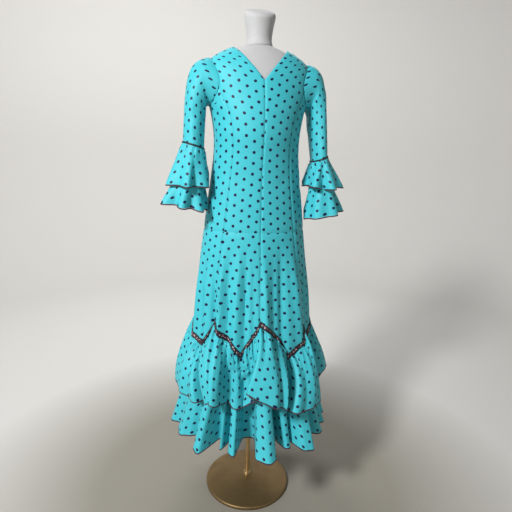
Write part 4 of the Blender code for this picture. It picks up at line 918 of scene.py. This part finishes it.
lowerCloth, lowerGrid, lowerEdge = makeFlounce("flounce_lower", lowerFlounce, lowerFolds, lowerTop)
upperCloth, upperGrid, upperEdge = makeFlounce("flounce_upper", upperFlounce, upperFolds, upperTop, lowerGrid)
zigzagBand = makeZigzagTrim()
declareCloth(upperCloth, "flounce_upper", [upperEdge, zigzagBand])
declareCloth(lowerCloth, "flounce_lower", [lowerEdge])
print("flounces made")


# Rings from the armhole down to the end of the narrow sleeve
rightRings = rowsOf(("in_x", "in_z", "out_x", "out_z", "depth", "y"), [
    (0.16, 1.362, 0.18, 1.494, 0.06, 0.0), (0.163, 1.352, 0.206, 1.472, 0.056, -0.002),
    (0.165, 1.33, 0.2205, 1.432, 0.052, -0.004), (0.167, 1.298, 0.2285, 1.37, 0.049, -0.008),
    (0.169, 1.262, 0.2325, 1.3, 0.047, -0.012), (0.171, 1.2285, 0.235, 1.245, 0.046, -0.016),
    (0.18, 1.16, 0.235, 1.175, 0.04, -0.024),
])
leftRings = rowsOf(("in_x", "in_z", "out_x", "out_z", "depth", "y"), [
    (0.16, 1.362, 0.18, 1.494, 0.06, 0.0), (0.164, 1.35, 0.203, 1.47, 0.056, -0.002),
    (0.167, 1.325, 0.2155, 1.428, 0.053, -0.004), (0.171, 1.29, 0.2225, 1.36, 0.051, -0.008),
    (0.178, 1.245, 0.228, 1.285, 0.05, -0.012), (0.185, 1.2, 0.232, 1.217, 0.049, -0.016),
    (0.19, 1.15, 0.233, 1.162, 0.042, -0.024),
])
rightUpperFolds = rowsOf(("at", "out", "lean", "rise"), [
    (-168, 0.006, 0.0, -0.002), (-138, -0.007, 0.0, 0.002), (-106, 0.004, 0.0, 0.0),
    (-76, -0.005, 0.0, 0.002), (-44, 0.004, 0.0, 0.0), (-8, -0.008, 0.0, 0.002), (6, 0.008, 0.0, -0.002),
    (38, -0.003, 0.0, 0.002), (72, 0.007, 0.0, 0.0), (106, -0.005, 0.0, 0.002), (136, 0.006, 0.0, -0.002),
    (164, -0.006, 0.0, 0.002),
])
rightLowerFolds = rowsOf(("at", "out", "lean", "rise"), [
    (-160, 0.007, 0.0, -0.002), (-128, -0.007, 0.0, 0.002), (-98, 0.004, 0.0, 0.0), (-66, -0.006, 0.0, 0.003),
    (-34, 0.006, 0.0, -0.003), (-12, -0.006, 0.0, 0.002), (10, 0.008, 0.0, -0.002), (36, -0.008, 0.0, 0.004),
    (66, 0.008, 0.0, -0.002), (102, -0.008, 0.0, 0.002), (134, 0.007, 0.0, -0.002), (166, -0.007, 0.0, 0.002),
])
leftUpperFolds = rowsOf(("at", "out", "lean", "rise"), [
    (-166, 0.006, 0.0, -0.002), (-134, -0.007, 0.0, 0.002), (-100, 0.004, 0.0, 0.0),
    (-70, -0.005, 0.0, 0.004), (-34, 0.009, 0.0, 0.0), (-12, -0.011, 0.0, -0.006), (12, 0.009, 0.0, -0.004),
    (44, -0.004, 0.0, 0.004), (78, 0.007, 0.0, 0.002), (110, -0.008, 0.0, 0.002), (140, 0.006, 0.0, -0.002),
    (168, -0.006, 0.0, 0.002),
])
leftLowerFolds = rowsOf(("at", "out", "lean", "rise"), [
    (-158, 0.007, 0.0, -0.002), (-126, -0.007, 0.0, 0.002), (-92, 0.004, 0.0, 0.0), (-62, -0.003, 0.0, 0.001),
    (-30, 0.003, 0.0, 0.0), (0, -0.002, 0.0, 0.0), (26, 0.006, 0.0, -0.001), (54, -0.008, 0.0, 0.004),
    (84, 0.008, 0.0, 0.0), (114, -0.008, 0.0, 0.002), (142, 0.007, 0.0, -0.002), (170, -0.006, 0.0, 0.002),
])

sleeveSettings = {
    "columns": 80, "rowsPerRing": 9, "elbowRing": 6, "layer": 0.0024, "trimHeight": 0.13, "trimWall": 0.0006,
    "trim": [(0, 0), (0.06, 0.0014), (0.3, 0.002), (0.5, 0.0014), (0.7, 0.002), (0.94, 0.0014), (1, 0)],
}
rightSleeve = {
    "rings": rightRings, "upper": rightUpperFolds, "lower": rightLowerFolds,
    "upperHem": {"in_x": 0.149, "in_z": 1.1180, "out_x": 0.279, "out_z": 1.1220, "depth": 0.064, "y": -0.028},
    "lowerHem": {"in_x": 0.157, "in_z": 1.0440, "out_x": 0.296, "out_z": 1.0660, "depth": 0.064, "y": -0.03},
    "creases": rowsOf(("at", "top", "length", "width", "lean", "depth"), [
        (300, -0.6, 2.2, 16, -60, -0.0030), (330, -1.4, 1.8, 14, -40, 0.0022),
        (20, -0.8, 2.0, 14, 40, -0.0022), (60, -2.6, 2.0, 16, -50, 0.0020), (340, -3.4, 1.6, 18, 60, -0.0024),
        (40, -4.2, 1.4, 16, -40, 0.0018), (200, -1.0, 2.2, 16, 40, -0.0030),
        (150, -2.4, 2.0, 16, -40, 0.0022), (230, -3.6, 1.8, 16, 30, -0.0022),
    ]),
}
leftSleeve = {
    "rings": leftRings, "upper": leftUpperFolds, "lower": leftLowerFolds,
    "upperHem": {"in_x": 0.157, "in_z": 1.1260, "out_x": 0.28, "out_z": 1.1220, "depth": 0.066, "y": -0.024},
    "lowerHem": {"in_x": 0.164, "in_z": 1.0190, "out_x": 0.285, "out_z": 1.0440, "depth": 0.06, "y": -0.028},
    "creases": rowsOf(("at", "top", "length", "width", "lean", "depth"), [
        (310, -0.6, 2.2, 16, -50, -0.0028), (345, -1.6, 1.8, 14, -40, 0.0020),
        (25, -1.0, 2.0, 14, 40, -0.0022), (50, -2.8, 2.0, 16, -50, 0.0022), (320, -3.6, 1.6, 18, 60, -0.0022),
        (30, -4.4, 1.2, 16, -40, 0.0016), (210, -1.0, 2.2, 16, 40, -0.0030),
        (160, -2.6, 2.0, 16, -40, 0.0020), (240, -3.8, 1.8, 16, 30, -0.0024),
    ]),
}
ruffleSettings = {
    "samples": 9, "rows": 20, "step": 0.0028, "softness": 0.0022, "spread": 1.8,
    "gathers": {"width": (0.008, 0.015), "length": (0.020, 0.070), "depth": 0.0028},
    "upper": {"seed": 31, "clear": 0.010}, "lower": {"seed": 51, "clear": 0.006},
}


def ringPoint(ring, side, degrees, out=0.0):
    inner = Vector((side * ring["in_x"], ring["y"], ring["in_z"]))
    outer = Vector((side * ring["out_x"], ring["y"], ring["out_z"]))
    t = math.radians(degrees)
    offset = (outer - inner) / 2 * math.sin(t) + Vector((0, -ring["depth"] * math.cos(t), 0))
    return (inner + outer) / 2 + offset + offset.normalized() * out


def armholePoint(side, degrees):
    t = math.radians(degrees)
    z = armhole["z"] + (armhole["rise"] + 0.002) * math.sin(t)
    angle = side * (90 - (armhole["sweep"] + 1.2) * math.cos(t))
    return bodyPoint(angle, z) + bodyNormal(angle, z) * 0.0016


def sleevePoint(rings, side, degrees, place):  # rings are counted from the armhole, which is 0
    def at(k):
        k = min(max(k, 0), len(rings))
        return armholePoint(side, degrees) if k == 0 else ringPoint(rings[k - 1], side, degrees)

    k = min(int(place), len(rings) - 1)
    f = place - k
    a, b = at(k), at(k + 1)
    slopeA = (b - at(k - 1)) / 2 if k > 0 else b - a
    slopeB = (at(k + 2) - a) / 2 if k + 2 <= len(rings) else b - a
    near = a * (2 * f**3 - 3 * f**2 + 1) + b * (3 * f**2 - 2 * f**3)
    return near + slopeA * (f**3 - 2 * f**2 + f) + slopeB * (f**3 - f**2)


def outwardFrom(rings, side, degrees, place):
    ring = rings[min(max(int(round(place)), 1), len(rings)) - 1]
    centre = ringPoint(ring, side, 90).lerp(ringPoint(ring, side, 270), 0.5)
    return (ringPoint(ring, side, degrees) - centre).normalized()


def makeRuffle(layer, word, side, sleeve, start):
    s = ruffleSettings
    node = f"ruffle_{layer}_{word}"
    table, hemRing = sleeve[layer], sleeve[layer + "Hem"]
    marks = foldMarks(table, 360, s["samples"])
    rows = []
    for n in range(s["rows"] + 1):
        f = n / s["rows"]
        swell = 1 - (1 - f) ** 1.15
        row = []
        for mark in marks:
            out, lean, rise = foldsAt(table, 360, mark)
            top = sleevePoint(sleeve["rings"], side, mark, start)
            top += outwardFrom(sleeve["rings"], side, mark, start) * sleeveSettings["layer"]
            foot = ringPoint(hemRing, side, mark + lean * f, out * s["spread"] * f**0.6)
            flat = top.lerp(foot, swell)
            point = Vector((flat.x, flat.y, top.z + (foot.z + rise - top.z) * f))
            row.append(clearOfBody(point, s[layer]["clear"]) if n else top)
        rows.append(row)
    grid, marks = evenedAcross(np.array(rows[::-1]), marks, 360, s["step"], s["softness"])
    hollows = hollowsOf(table, marks)
    if side < 0:
        grid = grid[:, ::-1]
        hollows = sorted(len(marks) - 1 - h for h in hollows)
    uv = stripUv(grid, hollows)
    topDown = uv[-1, :-1, 1][None] - uv[:, :-1, 1]
    relief = gatherRelief({**s["gathers"], "seed": s[layer]["seed"] + side}, uv[:, :-1, 0], topDown, 0.004)
    grid = grid + gridNormals(grid, True) * relief[..., None]
    made = objectFromGrid(node + "_cloth", grid, layLattice(uv, 0, 6, 20), True, crepe, clothWall)
    declareCloth(made, node, [bindHem(node, grid)])


def makeSleeve(word, side, sleeve):
    s = sleeveSettings
    rings = sleeve["rings"]
    angles = [360 * c / s["columns"] for c in range(s["columns"])]
    places = [len(rings) - k / s["rowsPerRing"] for k in range(len(rings) * s["rowsPerRing"] + 1)]
    grid = np.array([[sleevePoint(rings, side, a, place) for a in angles] for place in places])
    marks = np.repeat(np.array(angles)[None], len(places), axis=0)
    heights = -np.repeat(np.array(places)[:, None], len(angles), axis=1)
    if side < 0:
        grid, marks = grid[:, ::-1], marks[:, ::-1]
    relief = creaseRelief(sleeve["creases"], marks, heights, 360.0)
    down = -heights
    relief -= 0.0009 * np.exp(-((down / 0.12) ** 2))  # the armhole seam
    eased = np.maximum(0, np.sin(np.radians(marks))) * (1 + 0.5 * np.sin(np.radians(marks) * 22))
    relief += 0.0012 * np.exp(-((down - 0.35) ** 2) / 0.05) * eased  # fullness eased into the sleeve's head
    grid = grid + gridNormals(grid, True) * relief[..., None]
    back = s["columns"] * 5 // 8 if side > 0 else s["columns"] * 3 // 8
    grid, marks = np.roll(grid, -back, axis=1), np.roll(marks, -back, axis=1)
    middle = int(np.argmin(np.minimum(marks[0], 360 - marks[0])))
    uv = sleeveUv(grid, middle)
    made = objectFromGrid(f"sleeve_{word}_cloth", grid, layLattice(uv, 0, 20, middle), True, crepe, clothWall)
    band = []
    for up, rise in s["trim"]:
        place = s["elbowRing"] - up * s["trimHeight"]
        raised = [0.0014 + rise * (1 + 0.25 * math.sin(math.radians(a) * 40)) for a in angles]
        band.append([
            sleevePoint(rings, side, a, place) + outwardFrom(rings, side, a, place) * lift
            for a, lift in zip(angles, raised)
        ])
    bandGrid = np.array(band)
    if side < 0:
        bandGrid = bandGrid[:, ::-1]
    bandLengths = lengthsAlong(np.concatenate([bandGrid, bandGrid[:, :1]], axis=1), 1)[0]
    bandUv = ribbonUv(bandLengths, np.array([up for up, _ in s["trim"]]) * 0.3)
    trim = objectFromGrid(f"elbow_trim_{word}_ribbon", bandGrid, bandUv, True, ribbon, s["trimWall"])
    standsFor(trim, f"elbow_trim_{word}")
    declareCloth(made, f"sleeve_{word}", [trim])
    makeRuffle("upper", word, side, sleeve, s["elbowRing"] - 0.06)
    makeRuffle("lower", word, side, sleeve, len(rings) - 0.02)


makeSleeve("right", -1, rightSleeve)
makeSleeve("left", 1, leftSleeve)
print("sleeves made")


formRows = rowsOf(("z", "half", "front", "back"), [
    (0.792, 0.132, 0.078, 0.084), (0.8, 0.15, 0.093, 0.1), (0.84, 0.16, 0.104, 0.112),
    (0.95, 0.161, 0.109, 0.118), (1.06, 0.143, 0.101, 0.101), (1.15, 0.122, 0.092, 0.083),
    (1.22, 0.126, 0.104, 0.084), (1.28, 0.131, 0.12, 0.092), (1.34, 0.139, 0.117, 0.096),
    (1.385, 0.15, 0.108, 0.098), (1.43, 0.158, 0.098, 0.096), (1.47, 0.157, 0.086, 0.091),
    (1.498, 0.138, 0.072, 0.083), (1.518, 0.108, 0.06, 0.073), (1.533, 0.074, 0.049, 0.06),
    (1.541, 0.05, 0.042, 0.05),
])
neckRows = rowsOf(("z", "radius"), [
    (1.5413, 0.04), (1.544, 0.043), (1.562, 0.039), (1.585, 0.0405), (1.608, 0.0445), (1.63, 0.0485),
    (1.639, 0.0475), (1.645, 0.0435), (1.6475, 0.036),
])
formSettings = {
    "columns": 96, "torsoRows": 90, "neckRows": 40, "neckTilt": 0.42, "neckY": 0.004, "crown": 0.0012,
}


def loftClosed(name, rows, material):
    columns = len(rows[0])
    points = [p for row in rows for p in row]
    faces = [tuple(reversed(range(columns)))]
    for r in range(len(rows) - 1):
        for c in range(columns):
            d = (c + 1) % columns
            faces.append((r * columns + c, r * columns + d, (r + 1) * columns + d, (r + 1) * columns + c))
    faces.append(tuple((len(rows) - 1) * columns + c for c in range(columns)))
    mesh = bpy.data.meshes.new(name)
    mesh.from_pydata([tuple(p) for p in points], [], faces)
    mesh.materials.append(material)
    made = bpy.data.objects.new(name, mesh)
    bpy.context.scene.collection.objects.link(made)
    onlyThis(made)
    bpy.ops.object.shade_smooth_by_angle(angle=math.radians(50))
    return made


def heightsThrough(table, steps):  # even heights, and the table's own
    low, high = table[0]["z"], table[-1]["z"]
    return sorted({low + (high - low) * k / steps for k in range(steps + 1)} | {row["z"] for row in table})


def makeForm():
    s = formSettings
    turn = [360 * c / s["columns"] for c in range(s["columns"])]
    heights = heightsThrough(formRows, s["torsoRows"])
    rows = []
    for z in heights:
        half, front, back = (ramp(formRows, "z", c, z) for c in ("half", "front", "back"))
        rows.append([oval(half, front, back, a, z) for a in turn])
    standsFor(loftClosed("form_torso_jersey", rows, jersey), "form_torso")

    low, high = neckRows[0]["z"], neckRows[-1]["z"]
    heights = heightsThrough(neckRows, s["neckRows"])
    rows = []
    for z in heights:
        radius = ramp(neckRows, "z", "radius", z)
        tilt = s["neckTilt"] * ((z - low) / (high - low)) ** 2
        row = []
        for a in turn:
            point = oval(radius, radius, radius, a, z)
            row.append(Vector((point.x, point.y + s["neckY"], z + point.y * tilt)))
        rows.append(row)
    last = rows[-1]
    middle = sum(last, Vector()) / len(last)
    for share in (0.75, 0.45, 0.18):  # softly crowned cap
        rows.append([middle.lerp(p, share) + Vector((0, 0, s["crown"] * (1 - share * share))) for p in last])
    standsFor(loftClosed("form_neck_jersey", rows, jersey), "form_neck")


standSettings = {
    "baseRadius": 0.155, "baseEdge": 0.010, "crown": 0.024, "poleRadius": 0.009,
    "collarRadius": 0.0125, "collarTop": 0.036, "gap": 0.0003,
}


def turnedPiece(name, profile, node, metal, steps=128):  # a half outline spun round the pole
    mesh = bpy.data.meshes.new(name)
    edges = [(k, k + 1) for k in range(len(profile) - 1)]
    mesh.from_pydata([(radius, 0, z) for radius, z in profile], edges, [])
    made = bpy.data.objects.new(name, mesh)
    bpy.context.scene.collection.objects.link(made)
    onlyThis(made)
    bpy.ops.object.mode_set(mode="EDIT")
    bpy.ops.mesh.select_all(action="SELECT")
    bpy.ops.mesh.spin(steps=steps, angle=2 * math.pi, center=(0, 0, 0), axis=(0, 0, 1), use_auto_merge=True)
    bpy.ops.mesh.select_all(action="SELECT")
    bpy.ops.mesh.remove_doubles(threshold=0.00002)
    bpy.ops.mesh.normals_make_consistent(inside=False)
    bpy.ops.object.mode_set(mode="OBJECT")
    made.data.materials.append(metal)
    bpy.ops.object.shade_smooth_by_angle(angle=math.radians(35))
    standsFor(made, node)


def makeStand():
    s = standSettings
    r, edge, crown = s["baseRadius"], s["baseEdge"], s["crown"]
    # the base disc is the same brass as the pole, with a painted dark reflection in its colour
    turnedPiece("base_disc_brass", [
        (0, crown), (0.028, crown), (0.034, crown - 0.0006), (r - 0.012, edge + 0.0030),
        (r - 0.005, edge + 0.0018), (r - 0.0018, edge + 0.0008), (r - 0.0004, edge - 0.0008),
        (r, edge - 0.0022), (r, 0.0016), (r - 0.0004, 0.0006), (r - 0.0012, 0), (0, 0),
    ], "base_disc", paintedDarkBrass)
    c, top, gap = s["collarRadius"], s["collarTop"], s["gap"]
    turnedPiece("pole_collar_brass", [
        (0, top), (c - 0.0022, top), (c - 0.0008, top - 0.0004), (c, top - 0.0014), (c, crown + 0.0022),
        (c - 0.0006, crown + 0.0012), (c + 0.0004, crown + 0.0006), (c + 0.0004, crown + gap),
        (0, crown + gap),
    ], "pole_collar", brass, 64)
    p, foot, head = s["poleRadius"], top + gap, formRows[0]["z"] - gap
    turnedPiece("pole_brass", [
        (0, head), (p - 0.0006, head), (p, head - 0.0006), (p, foot + 0.0006), (p - 0.0006, foot), (0, foot),
    ], "pole", brass, 64)


makeForm()
makeStand()
print("form and stand made")


studio = {
    "floor": (0.24, 0.225, 0.19), "wall": (0.54, 0.53, 0.51), "inner": 0.55, "outer": 1.15,
    "reach": 4.2, "height": 5.2, "bend": 1.4, "world": 0.03,
    "key": {"place": (-2.34, -2.06, 2.90), "size": 0.6, "power": 180},
    "back": {"place": (-0.5, 1.3, 3.3), "size": 1.6, "power": 95, "aim": (0.4, 4.2, 0.7)},
    "fill": {"place": (1.6, -2.8, 1.4), "size": 2.4, "power": 5.0},
    "rim": {"place": (1.2, 2.2, 3.0), "size": 1.6, "power": 12},
}


def makeFloor():  # a round pale floor whose rim curves up into a plain wall
    s = studio
    steps = 16
    profile = [(0, 0), (s["reach"] - s["bend"], 0)]
    for k in range(1, steps + 1):
        t = math.pi / 2 * k / steps
        profile.append((s["reach"] - s["bend"] + s["bend"] * math.sin(t), s["bend"] * (1 - math.cos(t))))
    profile.append((s["reach"], s["height"]))
    mesh = bpy.data.meshes.new("studio_floor")
    edges = [(k, k + 1) for k in range(len(profile) - 1)]
    mesh.from_pydata([(x, 0, z - 0.0005) for x, z in profile], edges, [])
    floor = bpy.data.objects.new("studio_floor", mesh)
    bpy.context.scene.collection.objects.link(floor)
    onlyThis(floor)
    bpy.ops.object.mode_set(mode="EDIT")
    bpy.ops.mesh.select_all(action="SELECT")
    bpy.ops.mesh.spin(steps=96, angle=2 * math.pi, center=(0, 0, 0), axis=(0, 0, 1), use_auto_merge=True)
    bpy.ops.mesh.select_all(action="SELECT")
    bpy.ops.mesh.remove_doubles(threshold=0.0001)
    bpy.ops.object.mode_set(mode="OBJECT")
    bpy.ops.object.shade_smooth()
    made, nodes, links, shader = newMaterial("paleFloor")
    place = nodes.new("ShaderNodeTexCoord").outputs["Object"]
    apart = nodes.new("ShaderNodeVectorMath")
    apart.operation = "LENGTH"
    links.new(place, apart.inputs[0])
    outside = mathNode(nodes, links, "SUBTRACT", apart.outputs["Value"], s["inner"])
    outside = mathNode(nodes, links, "DIVIDE", outside, s["outer"] - s["inner"], clamp=True)
    links.new(mixColours(nodes, links, outside, s["floor"], s["wall"]), shader.inputs["Base Color"])
    shader.inputs["Roughness"].default_value = 0.8
    floor.data.materials.append(made)


def makeLights():
    for name in ("key", "back", "fill", "rim"):
        lamp = studio[name]
        light = bpy.data.lights.new(name, "AREA")
        light.shape = "DISK"
        light.size = lamp["size"]
        light.energy = lamp["power"]
        holder = bpy.data.objects.new(name, light)
        bpy.context.scene.collection.objects.link(holder)
        holder.location = lamp["place"]
        aim = Vector(lamp.get("aim", (0, 0, 0.8))) - holder.location
        holder.rotation_euler = aim.to_track_quat("-Z", "Y").to_euler()
    world = bpy.data.worlds.new("studio")
    world.use_nodes = True
    world.node_tree.nodes["Background"].inputs["Color"].default_value = (0.90, 0.92, 0.94, 1)
    world.node_tree.nodes["Background"].inputs["Strength"].default_value = studio["world"]
    bpy.context.scene.world = world
    bpy.context.scene.view_settings.view_transform = "Standard"


cameraSettings = {
    "azimuth": -11.0, "pitch": 12.4, "roll": -1.7, "distance": 1.405, "height": 1.192, "aside": 0.006,
    "sensor": 36, "focal": 420 / 512, "shift": 1 / 512,
}


def makeCamera():
    s = cameraSettings
    azimuth, pitch, roll = (math.radians(s[k]) for k in ("azimuth", "pitch", "roll"))
    back = Vector((math.sin(azimuth), -math.cos(azimuth), 0))
    right = Vector((math.cos(azimuth), math.sin(azimuth), 0))
    place = back * s["distance"] + right * s["aside"] + Vector((0, 0, s["height"]))
    forward = (-back * math.cos(pitch) + Vector((0, 0, -math.sin(pitch)))).normalized()
    up = right.cross(forward)
    r = right * math.cos(roll) - up * math.sin(roll)
    u = right * math.sin(roll) + up * math.cos(roll)
    camera = bpy.data.cameras.new("photo_camera")
    camera.sensor_width = s["sensor"]
    camera.lens = s["focal"] * s["sensor"]
    camera.shift_x = s["shift"]
    holder = bpy.data.objects.new("photo_camera", camera)
    bpy.context.scene.collection.objects.link(holder)
    holder.matrix_world = Matrix((
        (r.x, u.x, -forward.x, place.x), (r.y, u.y, -forward.y, place.y),
        (r.z, u.z, -forward.z, place.z), (0, 0, 0, 1),
    ))
    bpy.context.scene.camera = holder


makeFloor()
makeLights()
makeCamera()
print("floor, light and camera made")
